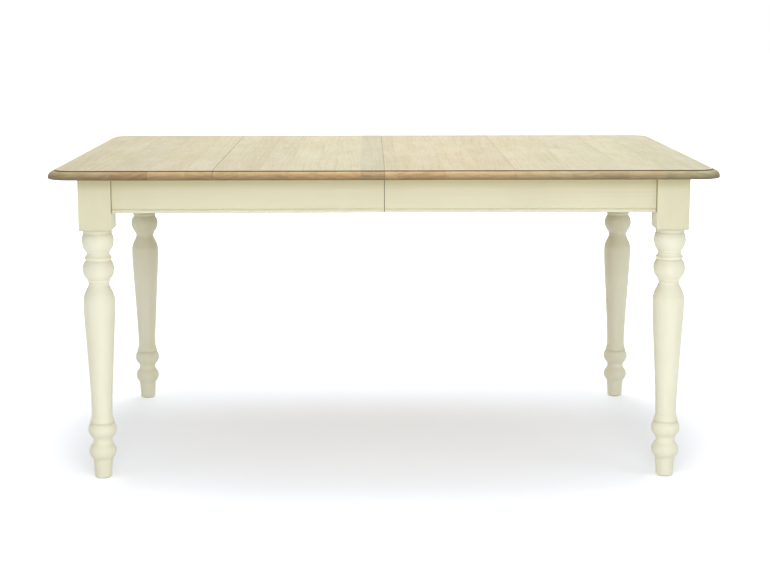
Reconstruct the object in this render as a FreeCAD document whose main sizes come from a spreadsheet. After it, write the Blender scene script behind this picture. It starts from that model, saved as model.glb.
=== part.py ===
import FreeCAD, Part
import os
import re
import Sketcher

# Extending dining table: a top in two halves on turned legs, which draw apart
# on geared wooden slides. Origin on the floor under the middle of the top,
# +X along the length, +Y to the rear, +Z up, millimetres.

doc = FreeCAD.newDocument("ExtendingTable")
sheet = doc.addObject("Spreadsheet::Sheet", "Sizes")

drivingSizes = {
    # top
    "tableHeight": 770,
    "topLength": 1600,
    "topWidth": 1000,
    "topThickness": 22,
    "cornerRadius": 58,
    "fieldInset": 18,
    "quirkDepth": 3,
    "ovoloRadius": 15.5,
    "underRound": 3,
    "fieldRound": 1.2,
    "seamGap": 0.6,
    "overhang": 67,
    "openTravel": 500,
    # legs
    "legWidth": 78,
    "blockHeight": 130,
    "blockArris": 2,
    "glideRadius": 14,
    "glideThickness": 2,
    # aprons
    "apronHeight": 88,
    "apronThickness": 22,
    "apronSetback": 10,
    "apronGap": 1.5,
    "beadHeight": 8.5,
    "beadDepth": 2.6,
    "beadQuirk": 2.5,
    # corner blocks and leg bolts
    "cornerReach": 109,
    "cornerThickness": 28,
    "cornerRise": 8,
    "cornerHeight": 72,
    "boltRadius": 4,
    "boltPlay": 0.5,
    "boltBite": 50,
    "boltSpacing": 36,
    "boltEnd": 3,
    "nutRadius": 7.5,
    "nutThickness": 6.5,
    "flangeRadius": 9,
    "flangeThickness": 1.8,
    # angle brackets under the top
    "bracketArm": 20,
    "bracketThickness": 2,
    "bracketLength": 30,
    "bracketCorner": 150,
    "bracketSeam": 60,
    "bracketEnd": 195,
    "screwRadius": 1.75,
    "screwPlay": 0.2,
    "screwBite": 14,
    "screwHeadRadius": 3.5,
    "screwHeadHeight": 1.8,
    # slides
    "slideClearance": 13.6,
    "railWidth": 24,
    "railHeight": 44,
    "railEndGap": 10,
    "railReach": 280,
    "centreReach": 450,
    "topRelief": 2,
    "slideGap": 0.4,
    "grooveMouth": 6,
    "grooveFloor": 9,
    "grooveDepth": 8,
    "stopInset": 10,
    "stopRadius": 3,
    "stopGap": 0.3,
    "railScrewRadius": 2.25,
    "railScrewHead": 4.5,
    "railScrewHeadHeight": 3,
    "railScrewBite": 15,
    "counterboreRadius": 5,
    "counterboreDepth": 12,
    # racks and pinions
    "gearModule": 1.5,
    "gearTeeth": 20,
    "toothPlay": 0.3,
    "tipPlay": 0.3,
    "rackBack": 22,
    "rackHeight": 8,
    "rackBehind": 40,
    "rackInset": 5,
    "axleRadius": 4,
    "axlePlay": 0.05,
    "axleBite": 30,
    "axleHeadRadius": 7,
    "axleHeadHeight": 3,
    "pinionGap": 0.4,
    # stored leaf and its bearers
    "bearerSpacing": 300,
    "bearerWidth": 30,
    "bearerHeight": 22,
    "bearerEnd": 26,
    "upstandWidth": 18,
    "upstandHeight": 12,
    "bearerScrewRadius": 2.5,
    "bearerScrewBite": 20,
    "feltThickness": 1.5,
    "feltWidth": 20,
    "foldGap": 6,
    "hingePlateWidth": 26,
    "hingePlateLength": 60,
    "hingePlateThickness": 2,
    "hingePinRadius": 1.4,
    "hingeInset": 110,
    "knuckleGap": 0.3,
    "bumperRadius": 8,
    "bumperInset": 45,
    # dowels at the seams
    "dowelRadius": 4,
    "dowelPlay": 0.4,
    "dowelReach": 12,
    "dowelBite": 20,
    "dowelNear": 130,
    "dowelInset": 110,
    "bushWall": 1.5,
    "bushLength": 14,
    # apron catches at the seam
    "catchDrop": 20,
    "catchInset": 30,
    "catchArm": 50,
    "catchBar": 10,
    "catchEye": 9,
    "catchPlateThickness": 2,
    "catchPlateWidth": 30,
    "catchPlateHeight": 34,
    "catchPlay": 0.3,
    "hookThickness": 3,
    "pivotRadius": 3,
    "pivotPlay": 0.05,
    "pivotHeadRadius": 5.5,
    "pivotHeadHeight": 2,
    "keeperRadius": 4,
    "keeperWidth": 32,
    "keeperLength": 6,
    "catchScrewAside": 10,
    "catchScrewRise": 11,
    "keeperScrewAside": 14,
    "keeperScrewRise": 9,
    # heights closer than this count as one when edges are picked
    "sameHeight": 0.05,
}

for rowNumber, (alias, amount) in enumerate(drivingSizes.items(), start=1):
    sheet.set(f"A{rowNumber}", alias)
    sheet.set(f"B{rowNumber}", str(amount))
    sheet.setAlias(f"B{rowNumber}", alias)
doc.recompute()

# Places that several pieces share, worked out from the driving sizes
underTop = "(tableHeight - topThickness)"
legHalf = "(legWidth / 2)"
legX = "(topLength / 2 - overhang - legWidth / 2)"
legY = "(topWidth / 2 - overhang - legWidth / 2)"
legInnerX = f"({legX} - legWidth / 2)"
legInnerY = f"({legY} - legWidth / 2)"
legTurned = f"({underTop} - blockHeight - glideThickness)"
apronBottom = f"({underTop} - apronHeight)"
apronFaceX = f"({legX} + {legHalf} - apronSetback)"
apronFaceY = f"({legY} + {legHalf} - apronSetback)"
apronInnerX = f"({apronFaceX} - apronThickness)"
apronInnerY = f"({apronFaceY} - apronThickness)"
longApron = f"({legInnerX} - apronGap / 2)"
apronInLeg = "(legWidth / 2 - apronSetback - apronThickness)"
cornerTop = "(cornerReach + cornerThickness * sqrt(2))"
cornerBottom = f"({apronBottom} + cornerRise)"
railBottom = f"({underTop} - topRelief - railHeight)"
railSide = "(railWidth / 2 + slideGap)"
slideLine = f"(topWidth / 4 + slideClearance + railWidth + {railSide})"
pitchRadius = "(gearModule * gearTeeth / 2)"
bearerTop = f"({railBottom} - upstandHeight)"
leafWidth = "(openTravel - seamGap)"
leafLength = "(topWidth / 2)"
leafLower = f"({bearerTop} + feltThickness)"
leafUpper = f"({leafLower} + topThickness + foldGap)"
foldHeight = f"({leafLower} + topThickness + foldGap / 2)"
# the outer rails end short of the corner blocks
railEndInLeg = f"({legY} - {slideLine} - {railSide} - railWidth)"
railFar = f"({legX} - {cornerTop} + {apronInLeg} + {railEndInLeg} - railEndGap)"
dowelFar = "(topWidth / 2 - dowelInset)"
dowelHeight = f"({underTop} + topThickness / 2)"
catchHeight = f"({underTop} - catchDrop)"
hookFace = "(catchPlateThickness + catchPlay)"
eighthTurn = 45
quarterTurn = 90
halfTurn = 180
fullTurn = 360
upAxis = FreeCAD.Vector(0, 0, 1)


def bound(text):
    # an expression on the sheet from words that are its aliases
    return re.sub(r"[A-Za-z]\w*", lambda word: ("Sizes." if word.group() in drivingSizes else "")
                  + word.group(), text)


def size(text):
    return float(sheet.evalExpression(bound(text)))


def newBody(label):
    body = doc.addObject("PartDesign::Body", label)
    body.Label = label
    body.AllowCompound = True
    return body


def newSketch(body, role, offset="0", turn=0):
    # a sketch on one of the body's own planes, set off along its normal and turned about its upright
    plane = next(item for item in body.Origin.OriginFeatures if item.Role == role)
    sketch = body.newObject("Sketcher::SketchObject", body.Name + "Sketch")
    sketch.AttachmentSupport = [(plane, "")]
    sketch.MapMode = "FlatFace"
    across = FreeCAD.Rotation(FreeCAD.Vector(0, 1, 0), turn)
    sketch.AttachmentOffset = FreeCAD.Placement(across.multVec(upAxis) * size(offset), across)
    if offset != "0":
        sketch.setExpression("AttachmentOffset.Base.x", bound(f"({offset}) * sin({turn} deg)"))
        sketch.setExpression("AttachmentOffset.Base.z", bound(f"({offset}) * cos({turn} deg)"))
    return sketch


def drawOutline(sketch, corners):
    # corners in order: (across, up), or (across, up, bow) where the edge to the next one is an arc
    # that bulges by bow to the right of the way it runs
    places = [FreeCAD.Vector(size(corner[0]), size(corner[1]), 0) for corner in corners]
    tips = []
    for index, corner in enumerate(corners):
        start, end = places[index], places[(index + 1) % len(corners)]
        if len(corner) == 2:
            edge = sketch.addGeometry(Part.LineSegment(start, end), False)
            tips.append((edge, 1, 2))
            continue
        following = corners[(index + 1) % len(corners)]
        bow = size(corner[2])
        way = end - start
        rightward = FreeCAD.Vector(way.y, -way.x, 0).normalize()
        middle = (start + end) * 0.5 + rightward * bow
        if bow > 0:
            edge = sketch.addGeometry(Part.Arc(start, middle, end), False)
            tips.append((edge, 1, 2))
        else:
            edge = sketch.addGeometry(Part.Arc(end, middle, start), False)
            tips.append((edge, 2, 1))
        chord = f"((({corner[0]}) - ({following[0]}))^2 + (({corner[1]}) - ({following[1]}))^2)"
        rise = f"abs({corner[2]})"
        radius = sketch.addConstraint(Sketcher.Constraint("Radius", edge, way.Length ** 2 / 8 / abs(bow)
                                                          + abs(bow) / 2))
        sketch.setExpression(f"Constraints[{radius}]", bound(f"{chord} / (8 * {rise}) + {rise} / 2"))
    for index, (edge, startTip, endTip) in enumerate(tips):
        following = tips[(index + 1) % len(tips)]
        sketch.addConstraint(Sketcher.Constraint("Coincident", edge, endTip, following[0], following[1]))
        for kind, side in (("DistanceX", 0), ("DistanceY", 1)):
            value = places[index][side]
            placed = sketch.addConstraint(Sketcher.Constraint(kind, -1, 1, edge, startTip, value))
            sketch.setExpression(f"Constraints[{placed}]", bound(corners[index][side]))


def drawBox(sketch, left, low, right, high):
    drawOutline(sketch, [(left, low), (right, low), (right, high), (left, high)])


def drawCircles(sketch, centres, radius):
    for across, up in centres:
        centre = FreeCAD.Vector(size(across), size(up), 0)
        edge = sketch.addGeometry(Part.Circle(centre, upAxis, size(radius)), False)
        for kind, value, text in (("DistanceX", centre.x, across), ("DistanceY", centre.y, up)):
            placed = sketch.addConstraint(Sketcher.Constraint(kind, -1, 1, edge, 3, value))
            sketch.setExpression(f"Constraints[{placed}]", bound(text))
        rounding = sketch.addConstraint(Sketcher.Constraint("Radius", edge, size(radius)))
        sketch.setExpression(f"Constraints[{rounding}]", bound(radius))


def addFeature(body, kind, sketch, length, backward=False):
    # Pad or Pocket of a sketch; a pad runs along the sketch's normal and a pocket against it
    feature = body.newObject("PartDesign::" + kind, body.Name + kind)
    feature.Profile = sketch
    feature.Reversed = backward
    feature.setExpression("Length", bound(length))
    sketch.Visibility = False
    return feature


def padOutline(body, role, corners, length, offset="0", backward=False):
    sketch = newSketch(body, role, offset)
    drawOutline(sketch, corners)
    return addFeature(body, "Pad", sketch, length, backward)


def padCircles(body, role, centres, radius, length, offset="0", backward=False, turn=0):
    sketch = newSketch(body, role, offset, turn)
    drawCircles(sketch, centres, radius)
    return addFeature(body, "Pad", sketch, length, backward)


def bore(body, role, centres, radius, length, offset="0", forward=True, turn=0):
    # holes that run from the sketch along its normal, or against it
    sketch = newSketch(body, role, offset, turn)
    drawCircles(sketch, centres, radius)
    doc.recompute()
    before = body.Shape.Volume
    feature = addFeature(body, "Pocket", sketch, length, forward)
    doc.recompute()
    if not body.Shape.Volume < before:
        raise RuntimeError(body.Label + ": a bore cuts nothing")
    return feature


def addEdgeFeature(body, kind, base, chosen, amount):
    # Fillet or Chamfer on the edges of base that chosen picks
    doc.recompute()
    names = [f"Edge{number}" for number, edge in enumerate(base.Shape.Edges, start=1) if chosen(edge)]
    feature = body.newObject("PartDesign::" + kind, body.Name + kind)
    feature.Base = (base, names)
    feature.setExpression("Radius" if kind == "Fillet" else "Size", bound(amount))
    return feature


def setPlace(item, x="0", y="0", z="0", turn=0):
    item.Placement = FreeCAD.Placement(FreeCAD.Vector(size(x), size(y), size(z)),
                                       FreeCAD.Rotation(upAxis, turn))
    for axis, text in (("x", x), ("y", y), ("z", z)):
        if text != "0":
            item.setExpression("Placement.Base." + axis, bound(text))
    return item


def group(label, members):
    # one node that holds several separate solids
    whole = doc.addObject("Part::Compound", label)
    whole.Label = label
    whole.Links = members
    return whole


def copies(body, places):
    # links to one body at (x, y, z, turn)
    members = []
    for place in places:
        link = doc.addObject("App::Link", body.Name + "Copy")
        link.LinkedObject = body
        members.append(setPlace(link, *place))
    return members


nodes = []


def keep(item):
    nodes.append(item)
    return item


def liesAt(edge, height):
    near = size("sameHeight")
    return abs(edge.BoundBox.ZMin - height) < near and abs(edge.BoundBox.ZMax - height) < near


# Top halves: a field slab on a wider slab with an ovolo edge, square at the seam

dowelLines = [f"-{dowelFar}", "-dowelNear", "dowelNear", dowelFar]
railScrewShares = (0.93, 0.52, 0.12)
railScrewLine = f"({railSide} + railWidth - counterboreRadius - topRelief)"


def halfOutline(inset):
    far = f"(topLength / 2 - {inset})"
    side = f"(topWidth / 2 - {inset})"
    radius = f"(cornerRadius - {inset})"
    bow = f"({radius} * (1 - sqrt(0.5)))"
    return [
        ("-seamGap / 2", f"-{side}"),
        ("-seamGap / 2", side),
        (f"-({far} - {radius})", side, bow),
        (f"-{far}", f"{side} - {radius}"),
        (f"-{far}", f"-({side} - {radius})", bow),
        (f"-({far} - {radius})", f"-{side}"),
    ]


def topHalf(label, turn, holeRadius, holeDepth):
    body = newBody(label)
    slab = padOutline(body, "XY_Plane", halfOutline("0"), "topThickness - quirkDepth", underTop)
    doc.recompute()
    seam = -size("seamGap")

    def outer(edge):
        return edge.BoundBox.XMin < seam and not edge.BoundBox.ZLength > size("seamGap")

    shoulder = size(f"{underTop} + topThickness - quirkDepth")
    moulded = addEdgeFeature(body, "Fillet", slab,
                             lambda edge: outer(edge) and liesAt(edge, shoulder), "ovoloRadius")
    eased = addEdgeFeature(body, "Fillet", moulded,
                           lambda edge: outer(edge) and liesAt(edge, size(underTop)), "underRound")
    body.Tip = eased
    field = padOutline(body, "XY_Plane", halfOutline("fieldInset"), "quirkDepth",
                       "tableHeight - quirkDepth")
    addEdgeFeature(body, "Fillet", field,
                   lambda edge: outer(edge) and liesAt(edge, size("tableHeight")), "fieldRound")
    dowels = [(line, dowelHeight) for line in dowelLines]
    bore(body, "YZ_Plane", dowels, holeRadius, holeDepth, "-seamGap / 2", forward=False)
    bore(body, "XY_Plane", railScrewPlaces(), "railScrewRadius", "railScrewBite", underTop)
    return keep(setPlace(body, turn=turn))


def railScrewPlaces():
    # along the fixed part of the outer and the inner rail of this half
    return [(f"-{railFar} * {share}", f"-{slideLine} * {slide} - {railScrewLine}")
            for slide in (1, -1) for share in railScrewShares]


# Turned legs

# the bolts run along the inner diagonal of the leg: their plane is turned so that its normal
# points that way, and a distance along it starts at the axis of the leg
legCorner = f"({legHalf} * sqrt(2))"
boltTip = f"({legCorner} - boltBite)"
boltMiddle = f"({cornerBottom} + cornerHeight / 2)"
boltHeights = [("0", f"{boltMiddle} - boltSpacing / 2"), ("0", f"{boltMiddle} + boltSpacing / 2")]
cornerOuterFace = f"((cornerReach - {apronInLeg}) / sqrt(2))"
cornerInnerFace = f"({cornerOuterFace} + cornerThickness)"

# each row: height as a share of the turning, then radius as a share of half the block,
# then the bow of the arc up to the next row as a share of the same (0 for a straight)
turningShares = (
    (0.0000, 0.497, 0.013),
    (0.0049, 0.531, 0.000),
    (0.0682, 0.600, -0.010),
    (0.0763, 0.646, 0.187),
    (0.1331, 0.672, -0.085),
    (0.1640, 0.667, 0.164),
    (0.2175, 0.774, 0.000),
    (0.2185, 0.718, 0.000),
    (0.2231, 0.733, 0.000),
    (0.2244, 0.756, 0.000),
    (0.2266, 0.756, -0.013),
    (0.2516, 0.649, -0.013),
    (0.3458, 0.687, 0.000),
    (0.6542, 0.972, 0.013),
    (0.7256, 0.982, 0.013),
    (0.7532, 0.846, -0.010),
    (0.7808, 0.649, 0.000),
    (0.7896, 0.638, 0.000),
    (0.7909, 0.692, 0.000),
    (0.7971, 0.703, -0.008),
    (0.8036, 0.754, 0.190),
    (0.8734, 0.846, 0.000),
    (0.8750, 0.805, 0.000),
    (0.8825, 0.805, 0.000),
    (0.8841, 0.836, 0.000),
    (0.8896, 0.851, -0.015),
    (0.9010, 0.718, 0.000),
    (0.9075, 0.723, -0.005),
    (0.9123, 0.754, 0.164),
    (0.9821, 0.903, 0.000),
    (0.9831, 0.877, 0.000),
    (0.9851, 0.877, 0.000),
    (0.9864, 0.903, 0.000),
    (1.0000, 0.903, 0.000),
)


def turnedLeg(label, x, y, turn):
    body = newBody(label)
    profile = newSketch(body, "XZ_Plane")
    corners = [("0", "glideThickness")]
    for heightShare, radiusShare, bowShare in turningShares:
        corner = (f"{legHalf} * {radiusShare}", f"glideThickness + {legTurned} * {heightShare}")
        corners.append(corner + (f"{legHalf} * {bowShare}",) if bowShare else corner)
    corners.append(("0", f"glideThickness + {legTurned}"))
    drawOutline(profile, corners)
    turning = body.newObject("PartDesign::Revolution", body.Name + "Turning")
    turning.Profile = profile
    turning.ReferenceAxis = (profile, ["V_Axis"])
    turning.Angle = fullTurn
    blockFoot = f"{underTop} - blockHeight"
    square = [(f"-{legHalf}", f"-{legHalf}"), (legHalf, f"-{legHalf}"), (legHalf, legHalf),
              (f"-{legHalf}", legHalf)]
    block = padOutline(body, "XY_Plane", square, "blockHeight", blockFoot)
    foot = size(blockFoot)
    side = size(f"{legHalf} - sameHeight")

    def rim(edge):
        box = edge.BoundBox
        widest = max(abs(box.XMin), abs(box.XMax), abs(box.YMin), abs(box.YMax))
        return liesAt(edge, foot) and widest > side

    addEdgeFeature(body, "Chamfer", block, rim, "blockArris")
    bore(body, "XZ_Plane", boltHeights, "boltRadius", "legWidth", boltTip, turn=3 * eighthTurn)
    return keep(setPlace(body, x, y, "0", turn))


# Corner blocks with their bolts and nuts

def cornerBlock(label, x, y, turn):
    body = newBody(label)
    inward = f"-{apronInLeg}"
    outline = [("cornerReach", inward), (cornerTop, inward), (inward, cornerTop), (inward, "cornerReach")]
    padOutline(body, "XY_Plane", outline, "cornerHeight", cornerBottom)
    bore(body, "XZ_Plane", boltHeights, "boltRadius + boltPlay", "cornerReach", cornerOuterFace,
         turn=3 * eighthTurn)
    return keep(setPlace(body, x, y, "0", turn))


def legBolts():
    body = newBody("LegBoltPair")
    length = f"{cornerInnerFace} + flangeThickness + nutThickness + boltEnd - {boltTip}"
    padCircles(body, "XZ_Plane", boltHeights, "boltRadius", length, boltTip, turn=3 * eighthTurn)
    return body


def legNuts():
    # hexagon nuts with a flange that bears on the corner block
    body = newBody("LegNutPair")
    padCircles(body, "XZ_Plane", boltHeights, "flangeRadius", "flangeThickness", cornerInnerFace,
               turn=3 * eighthTurn)
    sketch = newSketch(body, "XZ_Plane", f"{cornerInnerFace} + flangeThickness", 3 * eighthTurn)
    for across, up in boltHeights:
        drawOutline(sketch, [(f"{across} + nutRadius * cos({60 * step} deg)",
                              f"{up} + nutRadius * sin({60 * step} deg)") for step in range(6)])
    addFeature(body, "Pad", sketch, "nutThickness")
    bore(body, "XZ_Plane", boltHeights, "boltRadius", "flangeThickness + nutThickness",
         cornerInnerFace, turn=3 * eighthTurn)
    return body


def footGlide():
    body = newBody("FootGlide")
    disc = padCircles(body, "XY_Plane", [("0", "0")], "glideRadius", "glideThickness")
    addEdgeFeature(body, "Fillet", disc, lambda edge: liesAt(edge, 0), "glideThickness / 2")
    return body


# Aprons: outer face on local Y = 0, with a quirked bead along the lower edge

def apron(label, length, x, y, turn):
    body = newBody(label)
    lip = "beadHeight + beadQuirk"
    profile = [
        ("apronThickness", "0"),
        ("apronThickness", "apronHeight"),
        ("0", "apronHeight"),
        ("0", lip),
        ("beadDepth", "beadHeight", "beadDepth"),
        ("beadDepth", "0"),
    ]
    padOutline(body, "YZ_Plane", profile, length)
    return keep(setPlace(body, x, y, apronBottom, turn))


# Angle brackets that hold the top down, local X along the apron, Y away from it, Z up

bracketHoleOut = "(bracketArm / 2 + bracketThickness)"
bracketHoleDown = f"-{bracketHoleOut}"
bracketSeat = "(bracketThickness + screwHeadHeight)"


def angleBracket():
    body = newBody("AngleBracket")
    outline = [
        ("0", "-bracketArm"),
        ("bracketThickness", "-bracketArm"),
        ("bracketThickness", "-bracketThickness"),
        ("bracketArm", "-bracketThickness"),
        ("bracketArm", "0"),
        ("0", "0"),
    ]
    padOutline(body, "YZ_Plane", outline, "bracketLength", "-bracketLength / 2")
    hole = "screwRadius + screwPlay"
    bore(body, "XZ_Plane", [("0", bracketHoleDown)], hole, "bracketArm", "-bracketArm")
    bore(body, "XY_Plane", [("0", bracketHoleOut)], hole, "bracketArm", "-bracketArm")
    return body


def bracketScrews():
    body = newBody("BracketScrewPair")
    reach = "bracketThickness + screwBite"
    for role, hole in (("XZ_Plane", bracketHoleDown), ("XY_Plane", bracketHoleOut)):
        padCircles(body, role, [("0", hole)], "screwHeadRadius", "screwHeadHeight", f"-{bracketSeat}")
        padCircles(body, role, [("0", hole)], "screwRadius", reach, "-bracketThickness")
    return body


def bracketPlaces(side):
    # side is -1 for the left half and 1 for the right
    along = [f"{side} * ({legInnerX} - bracketCorner)", f"{side} * bracketSeam"]
    long = [(x, f"-{apronInnerY}", underTop, 0) for x in along]
    long += [(x, apronInnerY, underTop, halfTurn) for x in along]
    end = [(f"{side} * {apronInnerX}", y, underTop, side * quarterTurn)
           for y in (f"-({legInnerY} - bracketEnd)", f"{legInnerY} - bracketEnd")]
    return long + end


# Slides: in the slide's own frame the pinion's axis is X = Y = 0 and Z = 0 the underside of the rails

stopPlace = ("railReach - stopInset", f"-({railSide} + grooveDepth / 2)")
railScrewSeats = [(f"-{railFar} * {share}", f"-{railScrewLine}") for share in railScrewShares]


def dovetail(side, back, tip, mouth, floor):
    # the four corners of a dovetail from back to tip, on the side where Y is negative or positive
    return [
        (f"{side} * ({back})", f"railHeight / 2 - {mouth}"),
        (f"{side} * ({tip})", f"railHeight / 2 - {floor}"),
        (f"{side} * ({tip})", f"railHeight / 2 + {floor}"),
        (f"{side} * ({back})", f"railHeight / 2 + {mouth}"),
    ]


def outerRail(label, slideY, turn):
    body = newBody(label)
    inner = railSide
    outer = f"({railSide} + railWidth)"
    groove = dovetail(-1, inner, f"{inner} + grooveDepth", "grooveMouth", "grooveFloor")
    profile = [(f"-{outer}", "0"), (f"-{inner}", "0")] + groove
    profile += [(f"-{inner}", "railHeight"), (f"-{outer}", "railHeight")]
    padOutline(body, "YZ_Plane", profile, f"{railFar} + railReach", f"-{railFar}")
    land = newSketch(body, "XY_Plane", "railHeight")
    drawBox(land, f"-{railFar}", f"-{outer}", "-topRelief", f"-{inner}")
    addFeature(body, "Pad", land, "topRelief")
    bore(body, "XY_Plane", railScrewSeats, "railScrewRadius", "railHeight + topRelief")
    bore(body, "XY_Plane", railScrewSeats, "counterboreRadius", "counterboreDepth")
    bore(body, "XY_Plane", [stopPlace], "stopRadius", "railHeight")
    return keep(setPlace(body, "0", slideY, railBottom, turn))


def railScrews():
    body = newBody("RailScrewSet")
    padCircles(body, "XY_Plane", railScrewSeats, "railScrewHead", "railScrewHeadHeight",
               "counterboreDepth - railScrewHeadHeight")
    padCircles(body, "XY_Plane", railScrewSeats, "railScrewRadius",
               "railHeight + topRelief + railScrewBite - counterboreDepth", "counterboreDepth")
    return body


def stopPin():
    body = newBody("StopPin")
    padCircles(body, "XY_Plane", [stopPlace], "stopRadius", "railHeight")
    return body


def centreRail(label, slideY, turn):
    body = newBody(label)
    drop = "(grooveFloor - grooveMouth) / grooveDepth"
    root = f"(grooveMouth - slideGap - slideGap * {drop})"
    tip = f"(grooveFloor - slideGap - slideGap * {drop})"
    padOutline(body, "YZ_Plane", [("-railWidth / 2", "0"), ("railWidth / 2", "0"),
                                  ("railWidth / 2", "railHeight"), ("-railWidth / 2", "railHeight")],
               "2 * centreReach", "-centreReach")
    tongueEnd = "(railReach - stopInset - stopRadius - stopGap - openTravel / 2)"
    for side, start in ((-1, "-centreReach"), (1, f"-{tongueEnd}")):
        tongue = dovetail(side, "railWidth / 2", f"{railSide} + grooveDepth - slideGap", root, tip)
        padOutline(body, "YZ_Plane", tongue, f"centreReach + {tongueEnd}", start)
    bore(body, "XY_Plane", [("0", "0")], "axleRadius", "axleBite")
    screws = [("-bearerSpacing / 2", "0"), ("bearerSpacing / 2", "0")]
    bore(body, "XY_Plane", screws, "bearerScrewRadius", "bearerScrewBite")
    return keep(setPlace(body, "0", slideY, railBottom, turn))


# Toothed pieces: a straight-sided rack tooth and a pinion tooth with arc flanks

toothSlope = "tan(20 deg)"
addendum = "gearModule"
dedendum = "(gearModule + tipPlay)"
toothPitch = "(gearModule * pi)"
rackLength = "(railReach - rackInset + rackBehind)"


def toothedRack(label, slideY, turn):
    # the blank reaches to the tooth tips, and each gap is cut out of it; one gap is centred at X = 0
    body = newBody(label)
    tipLine = f"({pitchRadius} - {addendum} + tipPlay)"
    blank = newSketch(body, "XY_Plane", "-rackHeight")
    drawBox(blank, "-rackBehind", "-rackBack", "railReach - rackInset", f"-{tipLine}")
    addFeature(body, "Pad", blank, "rackHeight")
    gaps = f"floor({rackLength} / {toothPitch}) - 1"
    gapsBehind = int(size(f"floor(rackBehind / {toothPitch})"))
    middle = f"(-{toothPitch} * {gapsBehind})"
    rootLine = f"({pitchRadius} + {dedendum})"
    halfPitchGap = f"({toothPitch} / 4 + toothPlay / 2)"
    halfTip = f"({halfPitchGap} + ({pitchRadius} - {tipLine}) * {toothSlope})"
    halfRoot = f"({halfPitchGap} - ({rootLine} - {pitchRadius}) * {toothSlope})"
    gap = newSketch(body, "XY_Plane", "-rackHeight")
    drawOutline(gap, [
        (f"{middle} - {halfRoot}", f"-{rootLine}"),
        (f"{middle} + {halfRoot}", f"-{rootLine}"),
        (f"{middle} + {halfTip}", f"-{tipLine}"),
        (f"{middle} - {halfTip}", f"-{tipLine}"),
    ])
    cut = addFeature(body, "Pocket", gap, "rackHeight", True)
    teeth = body.newObject("PartDesign::LinearPattern", body.Name + "Teeth")
    teeth.Originals = [cut]
    teeth.Direction = (gap, ["H_Axis"])
    teeth.Mode = "Spacing"
    teeth.setExpression("Offset", bound(toothPitch))
    teeth.setExpression("Occurrences", bound(gaps))
    body.Tip = teeth
    return keep(setPlace(body, "0", slideY, railBottom, turn))


def pinion(label, slideY):
    body = newBody(label)
    rootRadius = f"({pitchRadius} - {dedendum})"
    tipRadius = f"({pitchRadius} + {addendum} - tipPlay)"
    thickness = "(rackHeight - 2 * pinionGap)"
    low = f"-(pinionGap + {thickness})"
    padCircles(body, "XY_Plane", [("0", "0")], rootRadius, thickness, low)
    halfPitch = f"({toothPitch} / 4 - toothPlay / 2)"
    halfTip = f"({halfPitch} - {addendum} * {toothSlope} - toothPlay / 2)"
    halfRoot = f"({halfPitch} + {dedendum} * {toothSlope} / 2)"
    tooth = newSketch(body, "XY_Plane", low)
    drawOutline(tooth, [
        (f"-{halfRoot}", f"{rootRadius} - tipPlay"),
        (halfRoot, f"{rootRadius} - tipPlay"),
        (halfPitch, pitchRadius),
        (halfTip, tipRadius),
        (f"-{halfTip}", tipRadius),
        (f"-{halfPitch}", pitchRadius),
    ])
    single = addFeature(body, "Pad", tooth, thickness)
    teeth = body.newObject("PartDesign::PolarPattern", body.Name + "Teeth")
    teeth.Originals = [single]
    teeth.Axis = (tooth, ["N_Axis"])
    teeth.Angle = fullTurn
    teeth.setExpression("Occurrences", bound("gearTeeth"))
    body.Tip = teeth
    doc.recompute()
    bore(body, "XY_Plane", [("0", "0")], "axleRadius + axlePlay", thickness, low)
    return keep(setPlace(body, "0", slideY, railBottom))


def pinionAxle():
    # a shoulder screw that hangs the pinion under the centre rail
    body = newBody("PinionAxle")
    padCircles(body, "XY_Plane", [("0", "0")], "axleRadius", "rackHeight + axleBite", "-rackHeight")
    padCircles(body, "XY_Plane", [("0", "0")], "axleHeadRadius", "axleHeadHeight",
               "-(rackHeight + axleHeadHeight)")
    return body


# Bearers for the stored leaf, with an upstand under each centre rail

bearerEnds = [("0", f"-{slideLine}"), ("0", slideLine)]


def leafBearer():
    body = newBody("LeafBearer")
    reach = f"({slideLine} + bearerEnd)"
    near = f"({slideLine} - upstandWidth / 2)"
    far = f"({slideLine} + upstandWidth / 2)"
    raised = "bearerHeight + upstandHeight"
    outline = [
        (f"-{reach}", "0"),
        (reach, "0"),
        (reach, "bearerHeight"),
        (far, "bearerHeight"),
        (far, raised),
        (near, raised),
        (near, "bearerHeight"),
        (f"-{near}", "bearerHeight"),
        (f"-{near}", raised),
        (f"-{far}", raised),
        (f"-{far}", "bearerHeight"),
        (f"-{reach}", "bearerHeight"),
    ]
    padOutline(body, "YZ_Plane", outline, "bearerWidth", "-bearerWidth / 2")
    bore(body, "XY_Plane", bearerEnds, "bearerScrewRadius", raised)
    bore(body, "XY_Plane", bearerEnds, "counterboreRadius", "counterboreDepth")
    return body


def bearerScrews():
    body = newBody("BearerScrewPair")
    padCircles(body, "XY_Plane", bearerEnds, "railScrewHead", "railScrewHeadHeight",
               "counterboreDepth - railScrewHeadHeight")
    padCircles(body, "XY_Plane", bearerEnds, "bearerScrewRadius",
               "bearerHeight + upstandHeight + bearerScrewBite - counterboreDepth", "counterboreDepth")
    return body


# Folding leaf: two panels whose undersides face each other, fold at the rear

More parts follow.
